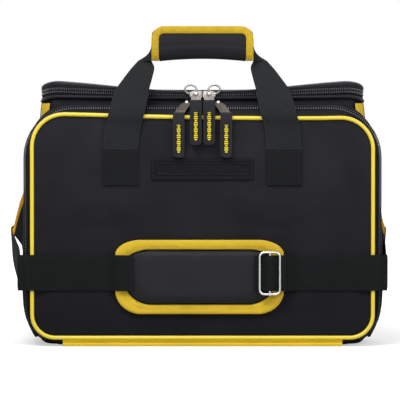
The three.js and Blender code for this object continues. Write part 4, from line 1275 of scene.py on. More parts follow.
@dataclass
class ShoulderPad:
    """The strap's padded sleeve, held across the front, with its bound edge."""

    finishes: Finishes
    centre: float = -3.5
    half: float = 101.0
    low: float = 39.0
    high: float = 128.0
    thick: float = 10.0
    bound: float = 11.5
    slope: float = 27.0
    drop: tuple[float, float] = (24.0, 15.0)  # how far the sloped corners reach along the ends, low and high

    def outline(self, inset: float, steps: int = 8) -> list[tuple[float, float]]:
        """The pad's outline: long sides, sloped ends and round corners."""
        x0, x1 = self.centre - self.half + inset, self.centre + self.half - inset
        z0, z1 = self.low + inset, self.high - inset
        slope, (low, high) = self.slope, self.drop
        sides = (((x1, z0 + low), (x1, z1 - high)), ((x1 - slope, z1), (x0 + slope, z1)),
                 ((x0, z1 - high), (x0, z0 + low)), ((x0 + slope, z0), (x1 - slope, z0)))
        points: list[tuple[float, float]] = []
        for i, (a, b) in enumerate(sides):
            after = sides[(i + 1) % 4][0]
            points += [a, *between(a, b, 14), b]
            bend = Vector((after[0] if i % 2 else b[0], b[1] if i % 2 else after[1]))
            bend = bend.lerp(Vector(((b[0] + after[0]) / 2, (b[1] + after[1]) / 2)), 0.35)
            for k in range(1, steps):
                t = k / steps
                points.append(tuple((1 - t) ** 2 * Vector(b) + 2 * t * (1 - t) * bend + t * t
                                    * Vector(after)))
        return points

    def ring(self, y: float, inset: float) -> Ring:
        """The outline at depth y, drawn in by inset."""
        return [mm(x, y, z) for x, z in self.outline(inset)]

    def build(self) -> None:
        """Makes the stuffed middle, its binding and the stitch lines."""
        rear = FACE_Y - SEAT
        front = rear - self.thick
        inner = self.bound + SEAT
        rings = [self.ring(rear - 0.2, inner + 1), self.ring(rear - 1.2, inner), self.ring(front + 4, inner),
                 self.ring(front + 1.6, inner + 1), self.ring(front + 0.8, inner + 4),
                 self.ring(front + 0.3, inner + 11)]
        middle = mm(self.centre, front + 0.3, (self.low + self.high) / 2)
        rings += [[p.lerp(middle, share) for p in self.ring(front + 0.3, inner + 11)] for share in (0.3, 0.6,
                                                                                                    0.9)]
        pad = link_mesh(loft("shoulder_pad_cloth", rings), self.finishes["smooth_cloth"], FOLD_EDGE)
        stuff(pad, cap=0.9, pressure=1.5)
        place(pad, "panel_body", "black_cloth", "strap_pad")
        self.binding(rear)
        self.seams(front)

    def binding(self, rear: float) -> None:
        """The folded tape round the pad's edge, with puckers from its curve."""
        outer, bound = self.outline(0), self.outline(self.bound)
        path = [((a[0] + b[0]) / 2, (a[1] + b[1]) / 2) for a, b in zip(outer, bound)]
        rings: list[Ring] = []
        for i, (a, b) in enumerate(zip(outer, bound)):
            across = Vector((b[0] - a[0], 0, b[1] - a[1]))
            wide = across.length
            across.normalize()
            pucker = 0.25 * math.sin(i * 2.1) + 0.2 * math.sin(i * 5.3)
            ring = []
            for along, out in ((0.0, 2.0), (0.0, 4.4), (0.9, 5.6), (3.0, 6.0 + pucker * 0.3),
                               (wide - 1.6, 5.7 + pucker),
                               (wide - 0.3, 5.0), (wide, 3.4), (wide, 0.4), (wide - 0.6, 0.1), (0.6, 0.4)):
                ring.append((Vector((a[0], rear - out, a[1])) + across * along) * MM)
            rings.append(ring)
        attach(loft("shoulder_pad_binding", rings, around=True), self.finishes["trim_tape"], FOLD_EDGE,
               "panel_body",
               "yellow_trim", "strap_pad_binding")
        shift = 0.27
        row = [mm(x + (b[0] - x) * shift, rear - 6.05, z + (b[1] - z) * shift)
               for (x, z), b in zip(path, bound)]
        sew("shoulder_pad_binding_stitches", [faced(row, closed=True)],
            Bead(3.6, (2.6, 0.55, 0.45), jitter=0.05), self.finishes["yellow_thread"], "panel_body",
            "yellow_trim")

    def seams(self, front: float) -> None:
        """Two upright stitch lines beside the strap's end."""
        runs = []
        for x in (-79.0, -74.5):
            line = [mm(x, front - 0.75, z) for z in range(54, 115, 4)]
            runs.append(faced(line))
        sew("shoulder_pad_stitches", runs, Bead(3.2, (2.4, 0.6, 0.5), jitter=0.05),
            self.finishes["stitching"], "panel_body", "black_cloth")


def stuff(made: bpy.types.Object, cap: float, pressure: float, voxel: float = 0.004) -> None:
    """Puffs a pad up with a short cloth simulation and keeps the result in its mesh.

    Args:
        made: The pad, closed.
        cap: The furthest that a point may move, in mm.
        pressure: Air pressure inside.
        voxel: Size of the even faces that it gets first, in metres.
    """
    layer = bpy.context.view_layer
    layer.objects.active = made
    finish = made.data.materials[0]
    even = made.modifiers.new("even", "REMESH")
    even.mode = "VOXEL"
    even.voxel_size = voxel
    layer.update()
    graph = bpy.context.evaluated_depsgraph_get()
    start = bpy.data.meshes.new_from_object(made.evaluated_get(graph))
    made.modifiers.clear()
    made.data = start
    cloth = made.modifiers.new("stuffing", "CLOTH")
    cloth.settings.use_pressure = True
    cloth.settings.uniform_pressure_force = pressure
    cloth.settings.effector_weights.gravity = 0
    cloth.settings.quality = 5
    cloth.point_cache.frame_start = 1
    cloth.point_cache.frame_end = 20
    scene = bpy.context.scene
    for number in range(1, 21):
        scene.frame_set(number)
    puffed = made.evaluated_get(bpy.context.evaluated_depsgraph_get()).to_mesh()
    moved = [v.co.copy() for v in puffed.vertices]
    made.evaluated_get(bpy.context.evaluated_depsgraph_get()).to_mesh_clear()
    made.modifiers.clear()
    scene.frame_set(1)
    for vertex, there in zip(start.vertices, moved):
        step = there - vertex.co
        if step.length > cap * MM:
            step *= cap * MM / step.length
        vertex.co += step
    finer = made.modifiers.new("finer", "SUBSURF")
    finer.levels = finer.render_levels = 1
    start.materials.clear()
    start.materials.append(finish)
    start.shade_smooth()
    LOG.info("%s stuffed with %d points", made.name, len(moved))


@dataclass
class ShoulderStrap:
    """The shoulder strap: front runs, the loop through the buckle, and the side runs up to the hooks."""

    finishes: Finishes
    middle: float = 88.5  # height of the strap across the front
    buckle_x: float = 80.5
    over_piping: float = PIPING_Y - PIPING_RADIUS - SEAT - WEBBING / 2
    on_panel: float = FACE_Y - SEAT - WEBBING / 2
    over_pad: float = FACE_Y - SEAT - 10 - SEAT - WEBBING / 2

    def build(self) -> None:
        """Makes every stretch of the strap."""
        for side in Side:
            self.front_run(side)
            self.side_run(side)
        self.buckle()

    def front_run(self, side: Side) -> None:
        """The stretch across the panel, over the piping and up onto the pad."""
        end = 82.0 if side is Side.LEFT else 62.5
        edge = 104.5
        route = [(POD_HALF - 1, self.over_piping), (FACE_HALF - 5, self.over_piping),
                 (FACE_HALF - 12, self.over_piping),
                 (FACE_HALF - 20, self.over_piping + 1.6), (FACE_HALF - 28, self.on_panel),
                 (160, self.on_panel),
                 (140, self.on_panel), (edge + 12, self.on_panel),
                 (edge + 2, (self.on_panel + self.over_pad) / 2),
                 (edge - 8, self.over_pad), (edge - 16, self.over_pad), (end, self.over_pad)]
        path = smooth_path([mm(side.value * x, y, self.middle) for x, y in route], 4)
        path = [Vector((p.x, max(p.y, self.over_pad * MM), p.z)) for p in path]
        name = f"strap_run_{side.word}"
        sections = facing_sections(path, UP, FRONT, STRAP_WIDE * MM)
        attach(strip(name + "_webbing", sections, WEBBING * MM), self.finishes["dark_webbing"], FLAT_EDGE,
               "panel_body", "webbing", name)
        if side is Side.LEFT:
            row = [mm(-end - 3, self.over_pad - WEBBING / 2 - STITCH_STAND, z) for z in range(70, 108, 3)]
            sew(name + "_stitches", [faced(row)], WEB_STITCH, self.finishes["stitching"], "panel_body",
                "webbing")

    def side_run(self, side: Side) -> None:
        """The stretch round the bag's corner and up its side."""
        out = 34.0 if side is Side.LEFT else 24.0
        bulge = side_x(138) + out + 6.5
        ring_y, ring_x, eye_foot = 48.0, side_x(157.8) + 7, 157.8
        past = max(POD_HALF + 7.7, side_x(self.middle) + 20 + 2 * SEAT + WEBBING / 2 + 0.6)
        z = self.middle
        steps = (((POD_HALF - 0.7, self.over_piping, z), (0, 0, 1), (0, -1, 0)),
                 ((past - 2.2, self.over_piping + 3, z), (0, 0, 1), (0.8, -0.6, 0)),
                 ((past, FACE_Y + 2, z), (0, 0, 1), (1, -0.1, 0)),
                 ((past, -78, z), (0, 0, 1), (1, 0, 0)),
                 ((past + 1, -56, z + 5), (0, 0, 1), (1, 0, 0)),
                 ((past + 7 if side is Side.LEFT else past + 2, -20, z + 14), (0, -0.2, 1), (1, -0.1, 0)),
                 ((bulge - 4.5, 4, z + 23), (0, -0.35, 1), (1, -0.1, 0)),
                 ((bulge - 1.5, 25, z + 31), (0, -0.5, 1), (1, 0, 0)),
                 ((bulge, ring_y - 5, z + 38), (0, -0.85, 0.55), (1, 0, 0)),
                 ((bulge - 4, ring_y, z + 51), (0, -1, 0.1), (1, 0, 0.15)),
                 (((bulge + ring_x) / 2 - 1, ring_y, eye_foot - 9), (0, -1, 0), (0.8, 0, 0.6)),
                 ((ring_x, ring_y, eye_foot - 2), (0, -1, 0), (1, 0, 0.1)))
        flip = Vector((side.value, 1, 1))
        places = smooth_path([mm(*at) * flip for at, _, _ in steps], 6)
        across = smooth_path([Vector(a) * flip for _, a, _ in steps], 6)
        outward = smooth_path([Vector(o) * flip for _, _, o in steps], 6)
        sections = [Section(p, a, o) for p, a, o in zip(places, across, outward)]
        name = f"strap_side_{side.word}"
        made = link_mesh(strip(name + "_webbing", sections, WEBBING * MM),
                         self.finishes["dark_webbing"], FLAT_EDGE)
        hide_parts(name)
        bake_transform(made)
        LOG.info("%s bends between the bag and the panel", made.name)

    def buckle(self) -> None:
        """The wire slide buckle and the webbing that loops over its bar."""
        low, high = node_box("slide_buckle")
        wire = 1.5
        plane = (low.y + high.y) / 2
        half, tall = 13.5 - wire, 26.5 - wire
        flat = rounded(self.buckle_x - half, self.buckle_x + half, self.middle - tall, self.middle + tall,
                       5.5, 5.5, 8, 4)
        frame = tube("slide_buckle_frame", [mm(x, plane, z) for x, z in flat], wire * MM, FRONT,
                     14)
        attach(frame, self.finishes["bright_steel"], ROUND_EDGE, "buckle_body", "steel", "slide_buckle")
        bar = [mm(self.buckle_x, plane, z) for z in (low.z, low.z + 0.4, self.middle, high.z - 0.4, high.z)]
        pin = tube("slide_buckle_bar", bar, wire * 0.9 * MM, FRONT, 12, around=False)
        attach(pin, self.finishes["bright_steel"], FOLD_EDGE, "buckle_body", "steel")
        under = self.over_pad - WEBBING - SEAT
        over = plane - wire - SEAT - WEBBING / 2 - 0.2
        route = [(-19, under), (-14, under), (-8.5, under), (-5.5, (under + over) / 2), (-3.2, over),
                 (0, over),
                 (3.2, over), (5.5, (under + over) / 2), (8.5, under), (14, under), (19, under)]
        path = [mm(self.buckle_x + x, y, self.middle) for x, y in route]
        sections = facing_sections(path, UP, FRONT, (STRAP_WIDE - 1) * MM)
        loop = strip("buckle_loop_webbing", sections, WEBBING * MM)
        attach(loop, self.finishes["dark_webbing"], FLAT_EDGE, "buckle_body", "webbing", "buckle_webbing")


def facing_sections(path: Sequence[Vector], across: Vector, out: Vector, wide: float) -> list[Section]:
    """Sections along a path whose face stays square to the path and turned towards out."""
    sections = []
    for i, p in enumerate(path):
        run = (path[min(i + 1, len(path) - 1)] - path[max(i - 1, 0)]).normalized()
        face = (out - run * out.dot(run)).normalized()
        sections.append(Section(p, across, face, wide))
    return sections


@dataclass
class CarryHandle:
    """One pair of webbing straps with a padded grip between them."""

    finishes: Finishes
    front: bool
    leave: float = 236.0  # height where the straps leave their stitching
    grip_half: float = 61.0
    deep: float = 24.0
    steps: tuple[tuple[float, float, float, float], ...] = (
        (98, 0.15, 43, 0), (95.7, 26, 43, 0), (92, 40, 43, 0), (88.5, 55, 43, 0), (84, 72, 40, 0),
        (77.5, 86, 34.5, 0.02), (71.8, 98, 28, 0.04), (69.9, 106.5, 17.5, 0.1), (69.2, 111.3, 18.2, 0.5),
        (68.4, 112.6, 18, 0.62), (61.3, 118.5, 23.5, math.pi / 2),
    )

    @property
    def body(self) -> str:
        """The body that the handle moves with."""
        return "front_handle" if self.front else "rear_handle"

    def outs(self) -> list[float]:
        """How far out from the bag's middle plane the straps lie at each step."""
        if self.front:
            start = -(FACE_Y - SEAT - WEBBING / 2)
            return [start + out for out in (0, 2, 5.4, 4.2, 0, -4, -7.5, -11, -13, -12.5, -6)]
        start = BODY_BACK + 2 * SEAT + WEBBING * 1.5
        return [start + out for out in (0, 0.4, 0.8, 2, 4, 6, 8, 9.5, 10.2, 10.4, 11)]

    def at(self, x: float, out: float, up: float) -> Vector:
        """A place given along the bag, out from it and along the handle from its stitching."""
        if self.front:
            return mm(x, -out, self.leave + up)
        return mm(x, out, self.leave - up)

    def build(self) -> None:
        """Makes both straps and the grip."""
        for side in Side:
            self.strap(side)
        self.grip()

    def strap(self, side: Side) -> None:
        """One strap, which narrows and folds as it goes into the grip."""
        outs = self.outs()
        flip = Vector((side.value, 1, 1))
        centre, across, facing, wides = [], [], [], []
        for (x, up, wide, tilt), out in zip(self.steps, outs):
            here = self.at(x, out, up)
            centre.append(here * flip)
            across.append((self.at(x + math.cos(tilt), out, up - math.sin(tilt)) - here).normalized() * flip)
            facing.append((self.at(x, out + 1, up) - here).normalized() * flip)
            wides.append(Vector((wide, 0, 0)))
        stretch = 6
        sections = [Section(p, a, f, w.x * MM) for p, a, f, w in
                    zip(smooth_path(centre, stretch), smooth_path(across, stretch),
                        smooth_path(facing, stretch),
                        smooth_path(wides, stretch))]
        name = f"{'handle' if self.front else 'rear'}_strap_{side.word}"
        mesh = strip(name + "_webbing", sections, WEBBING * MM, 10)
        attach(mesh, self.finishes["webbing"], FLAT_EDGE, self.body, "webbing", name)

    def grip(self) -> None:
        """The padded grip, rolled round the straps, with a crease along it."""
        name = "grip_sleeve" if self.front else "rear_grip"
        low, high = node_box(name)
        foot, head = (low.z - self.leave, high.z - self.leave) if self.front else (self.leave - high.z,
                                                                                   self.leave - low.z)
        middle = abs(low.y + high.y) / 2
        rings = []
        count = 28
        for i in range(count + 1):
            u = 2 * i / count - 1
            end = max(0.0, (abs(u) - 0.8) / 0.2)
            shrink = 5.5 * end * end
            lift = 4 * (1 - u * u)
            deep = self.deep / 2 - 0.2 - shrink
            base, bend = foot + lift + shrink, (11.5 if self.front else 9) - shrink
            flat = rounded(-deep, deep, base, head - shrink, bend, 9 - shrink, 6, 4)
            if self.front:
                flat = [(y, base + (z - base) * 17 / bend if z < base + bend else max(z, base + 17)) for y,
                        z in flat]
            rings.append([self.at(u * (self.grip_half - 0.1), middle + y, z) for y, z in flat])
        made = link_mesh(loft(name + "_padding", rings), self.finishes["smooth_cloth"], FOLD_EDGE)
        stuff(made, cap=0.6, pressure=1.0)
        place(made, self.body, "black_cloth", name)


@dataclass
class GripFlap:
    """The flap that wraps the front grip: bound along its top and ends, with a crease where it folds."""

    finishes: Finishes
    rear: float = -104.3
    thick: float = 2.4
    bound: float = 9.0
    half: float = 61.0
    low: float = 341.0
    high: float = 384.0
    rise: float = 4.0

    def foot(self, x: float) -> float:
        """Height of the flap's lower edge at x."""
        return self.low + self.rise * (1 - (x / self.half) ** 2)

    def tuck(self, x: float, z: float) -> float:
        """How far the flap turns in under the grip at a place."""
        share = clamped((self.foot(x) + 17 - z) / 17)
        return 11.5 * (1 - math.sqrt(1 - 0.92 * share * share))

    def build(self) -> None:
        """Makes the flap, its binding and its stitches."""
        self.cloth()
        self.binding()

    def cloth(self) -> None:
        """The flap's cloth, dented along its middle."""
        half, top = self.half - self.bound - SEAT, self.high - self.bound - SEAT
        rings = []
        for i in range(33):
            x = -half + 2 * half * i / 32
            foot = self.foot(x)
            corner = 4.0 * max(0.0, (abs(x) - half + 4) / 4) ** 2
            head = top - corner
            ring = []
            rows = 14
            for k in range(rows + 1):
                z = foot + (head - foot) * k / rows
                crease = 0.7 * math.exp(-((z - foot - 17) / 1.6) ** 2)
                puff = 0.1 * noise.noise(Vector((x / 22, z / 9, 1)))
                thin = 0.7 * max(0.0, 1 - (z - foot) / 17)
                ring.append(mm(x, self.rear - self.thick + 0.5 + crease + puff + thin + self.tuck(x, z), z))
            for k in range(rows + 1):
                z = foot + (head - foot) * (rows - k) / rows
                ring.append(mm(x, self.rear + self.tuck(x, z), z))
            rings.append(ring)
        mesh = loft("grip_flap_cloth", rings)
        attach(mesh, self.finishes["smooth_cloth"], FLAT_EDGE, "grip_wrap", "black_cloth", "grip_flap")

    def binding(self) -> None:
        """The yellow tape round the flap's top and ends, with a row of stitches near its inner edge."""
        outline = rounded(-self.half, self.half, self.low, self.high, 0.5, 15, 9, 26)
        inner = rounded(-self.half + self.bound, self.half - self.bound, self.low, self.high - self.bound,
                        0.5, 6, 9, 26)
        pairs = [(a, b) for a, b in zip(outline, inner) if a[1] > self.low + 0.8]
        start = max(range(len(pairs)), key=lambda i: (Vector(pairs[i][0]) - Vector(pairs[i - 1][0])).length)
        pairs = pairs[start:] + pairs[:start]
        rings: list[Ring] = []
        row: list[Vector] = []
        for i, ((ax, az), (bx, bz)) in enumerate(pairs):
            across = Vector((bx - ax, 0, bz - az))
            wide = across.length
            across.normalize()
            pucker = 0.2 * math.sin(i * 1.3) + 0.15 * math.sin(i * 3.7)
            ring = [Vector((ax, self.rear - out, az)) + across * along for along, out in
                    ((0.5, 0.0), (0.0, 0.6), (0.0, self.thick - 0.5), (0.5, self.thick),
                     (wide * 0.5, self.thick + 0.15 + pucker), (wide - 1, self.thick + 0.1),
                     (wide - 0.3, self.thick - 0.4),
                     (wide - 0.2, 0.0), (wide - 2, self.thick + 0.25))]
            ring = [mm(p.x, p.y + self.tuck(p.x, p.z), p.z) for p in ring]
            row.append(ring.pop())
            rings.append(ring)
        attach(loft("grip_flap_binding_tape", rings), self.finishes["grip_tape"], FOLD_EDGE, "grip_wrap",
               "yellow_trim", "grip_flap_binding")
        sew("grip_flap_stitches", [faced(row)], FINE_STITCH, self.finishes["yellow_thread"], "grip_wrap",
            "yellow_trim")


@dataclass
class SidePocket:
    """An open pocket on one end of the bag, with a slanted mouth bound in yellow."""

    finishes: Finishes
    side: Side
    front: float = -56.0
    back: float = 22.0
    wall: float = 2.5
    rim: float = 13.0

    @property
    def mouth_out(self) -> float:
        """How far the mouth stands out from the bag's side."""
        return 34.0 if self.side is Side.LEFT else 24.0

    def reach(self, z: float) -> float:
        """How far the pocket stands out at a height."""
        if z < 60:
            return 20 - 17 * ((60 - z) / 52) ** 2
        share = min(1.0, max(0.0, (z - 116) / 22))
        return 20 + min(1.0, (z - 60) / 20) + (self.mouth_out - 21) * eased(share)

    def mouth(self, x: float, rise: float) -> float:
        """Height of the mouth's plane at x, raised by rise."""
        near = side_x(200)
        x0, z0, x1, z1 = near - 30, 242.0, near + self.mouth_out + 30, 96.0
        share = clamped((x - near) / self.mouth_out)
        return z0 + rise + (z1 - z0) * (x - x0) / (x1 - x0) + 24 * math.sin(math.pi * share**1.2)

    def point(self, share: float, y: float, low: float, up: float, inset: float, rise: float) -> Vector:
        """A point of the wall.

        Args:
            share: From 0 at the bag to 1 at the pocket's outside.
            y: Its place along the pocket.
            low: Where the wall starts.
            up: From 0 at low to 1 at the mouth.
            inset: How far inside the outer face it lies.
            rise: How far above the plain mouth the wall ends.

        Returns:
            The point in metres, on this pocket's side of the bag.
        """
        z = 150.0
        for _ in range(12):
            x = side_x(z) + SEAT + inset + share * (self.reach(z) - 2 * inset)
            z = 0.5 * z + 0.5 * self.mouth(x, rise)
        z = low + (z - low) * up
        x = side_x(z) + SEAT + inset + share * (self.reach(z) - 2 * inset)
        return mm(self.side.value * x, y, z)

    def ring(self, low: float, up: float, inset: float, rise: float) -> Ring:
        """The wall's outline part of the way up, drawn in by inset."""
        flat = rounded(0, 20, self.front + inset, self.back - inset, 3.4, 3.4, 4, 10)
        return [self.point(x / 20, y, low, up, inset, rise) for x, y in flat]

    def build(self) -> None:
        """Makes the pocket and its bound mouth."""
        name = f"side_pocket_{self.side.word}"
        steps = (0, 0.02, 0.05, 0.1, 0.2, 0.3, 0.4, 0.5, 0.6, 0.66, 0.72, 0.78, 0.84, 0.9, 0.95, 1)
        rings = [self.ring(8, up, 0, -self.rim) for up in steps]
        rings += [self.ring(11, up, self.wall, -self.rim) for up in reversed(steps)]
        mesh = loft(name + "_cloth", rings)
        ridge = side_x(100) + 14
        made_mesh = move(mesh,
                         lambda p: Vector((-self.side.value * 0.8 * (0.5 + 0.5 * lumps(p, 40, 4)), 0, 0))
                         * (ridge < abs(p.x) / MM and 24 < p.z / MM < 118))
        attach(made_mesh, self.finishes["body_cloth"], FLAT_EDGE, "bag_body", "black_cloth", name)
        foot, bend = -self.rim + SEAT, 0.25
        levels = ((foot, 0.0), (-8.0, -0.3), (-1.4, -0.3), (-0.4, 0.1), (0.0, self.wall / 2),
                  (-0.4, self.wall - 0.1),
                  (-1.4, self.wall + bend), (-8.0, self.wall + bend), (foot, self.wall))
        rims = [self.ring(8, 1, inset, rise) for rise, inset in levels]
        name = f"side_pocket_binding_{self.side.word}"
        attach(loft(name + "_tape", rims, around=True), self.finishes["pocket_trim"], FLAT_EDGE, "bag_body",
               "yellow_trim", name)
        line = self.ring(8, 1, -0.4, -9.5)
        outs = [Vector((self.side.value, 0, 0)) if abs(p.x) / MM > side_x(150) + 12
                else Vector((0, math.copysign(1, p.y / MM + 17), 0)) for p in line]
        sew(name + "_stitches", [Run(line, outs, closed=True)], Bead(3.2, (2.4, 0.55, 0.45), jitter=0.05),
            self.finishes["yellow_thread"], "bag_body", "yellow_trim")


@dataclass
class RingAndHook:
    """A D-ring on its webbing tab, with the strap's swivel hook in it."""

    finishes: Finishes
    side: Side
    ring_y: float = 48.0
    ring_z: float = 234.0
    wire: float = 1.8
    hook_wire: float = 1.7

    @property
    def ring_x(self) -> float:
        """Half width at which the ring hangs."""
        low, high = node_box("d_ring_right")
        return (low.x + high.x) / 2

    def at(self, x: float, y: float, z: float) -> Vector:
        """A point of the right hand set, on this side of the bag."""
        return mm(self.side.value * x, y, z)

    def build(self) -> None:
        """Makes the tab, the ring and the hook."""
        self.tab()
        self.ring()
        self.hook()

    def tab(self) -> None:
        """The folded webbing tab that carries the ring."""
        x, z = self.ring_x, self.ring_z
        near = side_x(z) + SEAT + WEBBING / 2 + 0.4
        far = near + WEBBING + SEAT
        turn = self.wire + SEAT + WEBBING / 2
        route = [(near, z + 28), (near, z + 20), (near, z + 13), (x - turn, z + 4)]
        route += [(x + turn * math.cos(math.pi * (1 + k / 12)), z + turn * math.sin(math.pi * (1 + k / 12)))
                  for k in range(13)]
        route += [(x + turn, z + 4), (far + 0.2, z + 15), (far, z + 20), (far, z + 28)]
        across = Vector((0, -self.side.value, 0))
        path = [self.at(px, self.ring_y, pz) for px, pz in route]
        sections = []
        for i, p in enumerate(path):
            run = heading(path, i)
            sections.append(Section(p, across, across.cross(run), (STRAP_WIDE - 6) * MM))
        name = f"ring_tab_{self.side.word}"
        attach(strip(name + "_webbing", sections, WEBBING * MM), self.finishes["dark_webbing"], FLAT_EDGE,
               "bag_body", "webbing", name)
        out = Vector((self.side.value, 0, 0))
        runs = []
        for height in (19.5, 25.5):
            row = [self.at(far + WEBBING / 2 + STITCH_STAND, self.ring_y - 15 + 3 * k,
                           z + height) for k in range(11)]
            runs.append(faced(row, out=out))
        sew(name + "_stitches", runs, WEB_STITCH, self.finishes["stitching"], "bag_body", "webbing")

    def ring(self) -> None:
        """The D-ring: a straight bar in the tab and a bow below it."""
        half = 23.0
        route = [(half - 3 - 40 * k / 8, 0.0) for k in range(9)]
        route += [(half * math.cos(math.pi * (1 + k / 20)), -4 + 22 * math.sin(math.pi * (1 + k / 20)))
                  for k in range(21)]
        path = [self.at(self.ring_x, self.ring_y + y, self.ring_z + z) for y, z in route]
        name = f"d_ring_{self.side.word}"
        mesh = tube(name + "_wire", path, self.wire * MM, Vector((1, 0, 0)), 14)
        attach(mesh, self.finishes["steel"], ROUND_EDGE, f"ring_{self.side.name[0].lower()}", "steel", name)

    def hook(self) -> None:
        """The swivel hook: a closed snap loop, its barrel and the eye that holds the strap."""
        low, high = node_box(f"swivel_hook_{self.side.word}")
        body = f"hook_{self.side.name[0].lower()}"
        name = f"swivel_hook_{self.side.word}"
        x, y = self.ring_x, self.ring_y
        top = high.z - self.hook_wire
        foot = top - 30
        oval = rounded(x - 5.2, x + 5.2, foot, top, 5.19, 5.19, 8, 6)
        loop = tube(name + "_loop", [self.at(px, y, pz) for px, pz in oval], self.hook_wire * MM,
                    REAR, 12)
        attach(loop, self.finishes["steel"], ROUND_EDGE, body, "steel", name)
        eye_foot = low.z + self.hook_wire
        half = STRAP_WIDE / 2 + 2.6
        flat = rounded(y - half, y + half, eye_foot, eye_foot + 14, 3.4, 3.4, 6, 6)
        eye = tube(name + "_eye", [self.at(x, py, pz) for py, pz in flat], self.hook_wire * MM,
                   Vector((1, 0, 0)), 12)
        attach(eye, self.finishes["steel"], ROUND_EDGE, body, "steel")
        profile = ((0, -0.9), (3.4, -0.9), (4.1, -0.4), (4.2, 3.2), (3.8, 4), (2.6, 5), (2.6, 6), (3.4, 6.6),
                   (3.6, 9.4),
                   (2.6, 10), (0, 10))
        rings = [[self.at(x + r * math.cos(a), y + r * math.sin(a), eye_foot + 14 + z)
                  for a in (2 * math.pi * k / 20 for k in range(20))] for r, z in profile if r]
        attach(loft(name + "_barrel", rings), self.finishes["steel"], 40, body, "steel")


@dataclass
class ZipPull:
    """One zip slider with its steel link and rubber pull."""

    finishes: Finishes
    name: str
    bars: int = 14

    def build(self) -> None:
        """Makes the slider, the link and the pull with its yellow bars."""
        zip_name, word = self.name.split("_")
        start = f"{zip_name}_{{}}_{word[0]}"
        for part, finish, bevel in (("slider", "steel", 0.00035), ("link", "link_steel", 0.0004),
                                    ("pull", "rubber", 0.0006)):
            node = f"{self.name}_{part}"
            slot = "rubber" if part == "pull" else "steel"
            place(refined(node + "_body", node, self.finishes[finish], bevel), start.format(part), slot)
        if zip_name == "lid":
            self.crown(start.format("slider"))
        low, high = node_box(f"{self.name}_pull")
        x = (low.x + high.x) / 2
        head = high.z - 15.0
        mesh = bpy.data.meshes.new(self.name + "_pull_bars")
        shape = bmesh.new()
        for k in range(self.bars):
            z = head - k * 2.5
            wide = 1.5 if k % 3 == 1 else 2.3
            low_ring = rounded(x - wide, x + wide, z - 0.8, z + 0.8, 0.4, 0.4, 3)
            points = [[mm(px, low.y + depth, pz) for px, pz in
                       ((x + (a - x) * s, z + (b - z) * s) for a, b in low_ring)]
                      for depth, s in ((0.75, 1.0), (0.25, 1.0), (0.1, 0.9))]
            part_mesh = loft("bar", points)
            shape.from_mesh(part_mesh)
            bpy.data.meshes.remove(part_mesh)
        shape.to_mesh(mesh)
        shape.free()
        attach(mesh, self.finishes["yellow_rubber"], 40, start.format("pull"), "yellow_trim")

    def crown(self, body: str) -> None:
        """The wire loop that stands up beside a lid slider."""
        low, high = node_box(f"{self.name}_slider")
        outer = -1 if self.name.endswith("left") else 1
        x, y, z = (low.x + high.x) / 2 + outer * 6.3, high.y - 1.3, high.z + 1.6
        loop = [mm(x + 7.0 * math.cos(a), y - 0.6 * math.cos(2 * a), z + 5.4 * math.sin(a))
                for a in (2 * math.pi * k / 36 for k in range(36))]
        wire = tube(self.name + "_slider_crown", loop, 1.25 * MM, REAR, 10)
        attach(wire, self.finishes["steel"], ROUND_EDGE, body, "steel")


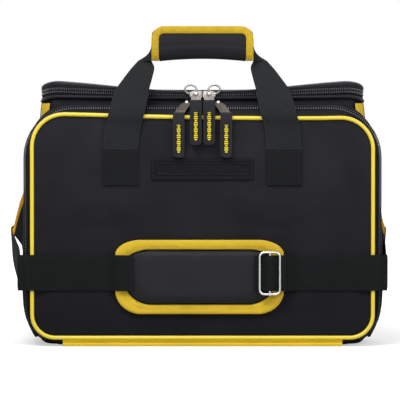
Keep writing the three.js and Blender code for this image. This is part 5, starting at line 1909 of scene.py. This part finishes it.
@dataclass
class Studio:
    """The camera, lamps and pale ground of the picture."""

    px: float = 1.2  # mm of the bag's face to one pixel of the picture
    middle_px: float = 202.5  # picture column of the bag's middle
    ground_px: float = 346.5  # picture row of the ground
    distance: float = 3.4
    tilt: float = 1.5  # degrees that the camera looks down
    aim_z: float = 0.175

    def build(self) -> None:
        """Makes the camera, the lamps, the world and the ground."""
        scene = bpy.context.scene
        scene.view_settings.view_transform = "Standard"
        self.camera(scene)
        self.world(scene)
        for name, at, size, power, aim in (
            ("key", (-0.45, -1.25, 1.75), 1.0, 34, (0, -0.1, 0.3)),
            ("fill", (1.4, -1.6, 1.3), 1.2, 18, (0, -0.1, 0.25)),
            ("front", (-0.2, -3.0, 0.9), 1.0, 12, (0, -0.1, 0.2)),
            ("rim", (0.3, 1.6, 1.9), 1.2, 18, (0, 0, 0.3)),
        ):
            self.lamp(name, Vector(at), size, power, Vector(aim))
        self.ground()

    def camera(self, scene: bpy.types.Scene) -> None:
        """Puts the camera in front of the bag, as the picture was taken."""
        data = bpy.data.cameras.new("camera")
        made = bpy.data.objects.new("camera", data)
        scene.collection.objects.link(made)
        face = FACE_Y * MM
        seen = PICTURE * self.px * MM
        tilt = math.radians(self.tilt)
        aim = Vector((0, face, self.aim_z))
        made.location = aim + Vector((0, -math.cos(tilt), math.sin(tilt))) * self.distance
        made.rotation_euler = (math.pi / 2 - tilt, 0, 0)
        data.sensor_width = SENSOR
        data.lens = SENSOR * self.distance / seen
        data.shift_x = (200 - self.middle_px) / PICTURE
        data.shift_y = ((200 - self.ground_px) * self.px * MM + self.aim_z) / seen * -1
        data.clip_end = 30
        scene.camera = made

    def world(self, scene: bpy.types.Scene) -> None:
        """A white backdrop that lights the bag a little less than it shows."""
        world = bpy.data.worlds.new("backdrop")
        scene.world = world
        world.use_nodes = True
        graph = Graph(world.node_tree)
        world.node_tree.nodes.clear()
        path = graph.add("ShaderNodeLightPath").outputs
        seen = graph.math("MAXIMUM", path["Is Camera Ray"], path["Is Transmission Ray"])
        seen = graph.math("MAXIMUM", seen, path["Is Glossy Ray"])
        shown = graph.add("ShaderNodeBackground", {}, {"Color": (1, 1, 1, 1), "Strength": 1.0})
        lit = graph.add("ShaderNodeBackground", {}, {"Color": (0.94, 0.96, 1, 1), "Strength": 0.3})
        mixed = graph.add("ShaderNodeMixShader", {}, {0: seen, 1: lit.outputs[0], 2: shown.outputs[0]})
        graph.add("ShaderNodeOutputWorld", {}, {"Surface": mixed.outputs[0]})

    @staticmethod
    def lamp(name: str, at: Vector, size: float, power: float, aim: Vector) -> None:
        """One soft square lamp that looks at aim."""
        data = bpy.data.lights.new(name, "AREA")
        data.size = size
        data.energy = power
        made = bpy.data.objects.new(name, data)
        made.location = at
        made.rotation_euler = (aim - at).to_track_quat("-Z", "Y").to_euler()
        bpy.context.scene.collection.objects.link(made)

    @staticmethod
    def ground() -> None:
        """The pale ground under the bag."""
        mesh = bpy.data.meshes.new("ground")
        mesh.from_pydata([(-6, -6, -0.0004), (6, -6, -0.0004), (6, 6, -0.0004), (-6, 6, -0.0004)], [],
                         [(0, 1, 2, 3)])
        material = bpy.data.materials.new("ground")
        material.use_nodes = True
        shader = material.node_tree.nodes["Principled BSDF"]
        shader.inputs["Base Color"].default_value = (0.62, 0.62, 0.62, 1)
        shader.inputs["Roughness"].default_value = 1.0
        shader.inputs["Specular IOR Level"].default_value = 0.0
        shader.inputs["Emission Color"].default_value = (1, 1, 1, 1)
        graph = Graph(material.node_tree)
        seen = graph.add("ShaderNodeLightPath").outputs["Is Camera Ray"]
        away = graph.vector("LENGTH", graph.add("ShaderNodeTexCoord").outputs["Object"], out=1)
        glow = graph.math("MULTIPLY", seen, graph.span(away, 0.25, 0.9, 0.5, 1.0))
        material.node_tree.links.new(glow, shader.inputs["Emission Strength"])
        made = bpy.data.objects.new("ground", mesh)
        mesh.materials.append(material)
        bpy.context.scene.collection.objects.link(made)


def main() -> None:
    """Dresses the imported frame, piece by piece."""
    logging.basicConfig(level=logging.INFO, format="%(name)s: %(message)s")
    Studio().build()
    finishes = Finishes()
    Body(finishes).build()
    Lid(finishes).build()
    FrontCompartment(finishes).build()
    PanelTrim(finishes).build()
    ShoulderPad(finishes).build()
    ShoulderStrap(finishes).build()
    for front in (True, False):
        CarryHandle(finishes, front).build()
    GripFlap(finishes).build()
    for side in Side:
        strap_end(finishes, f"rear_strap_end_{side.word}", BODY_BACK + SEAT + WEBBING / 2, 1, "bag_body")
        SidePocket(finishes, side).build()
        RingAndHook(finishes, side).build()
        for zip_name in ("lid", "pocket"):
            ZipPull(finishes, f"{zip_name}_{side.word}").build()


if __name__ == "__main__":
    main()
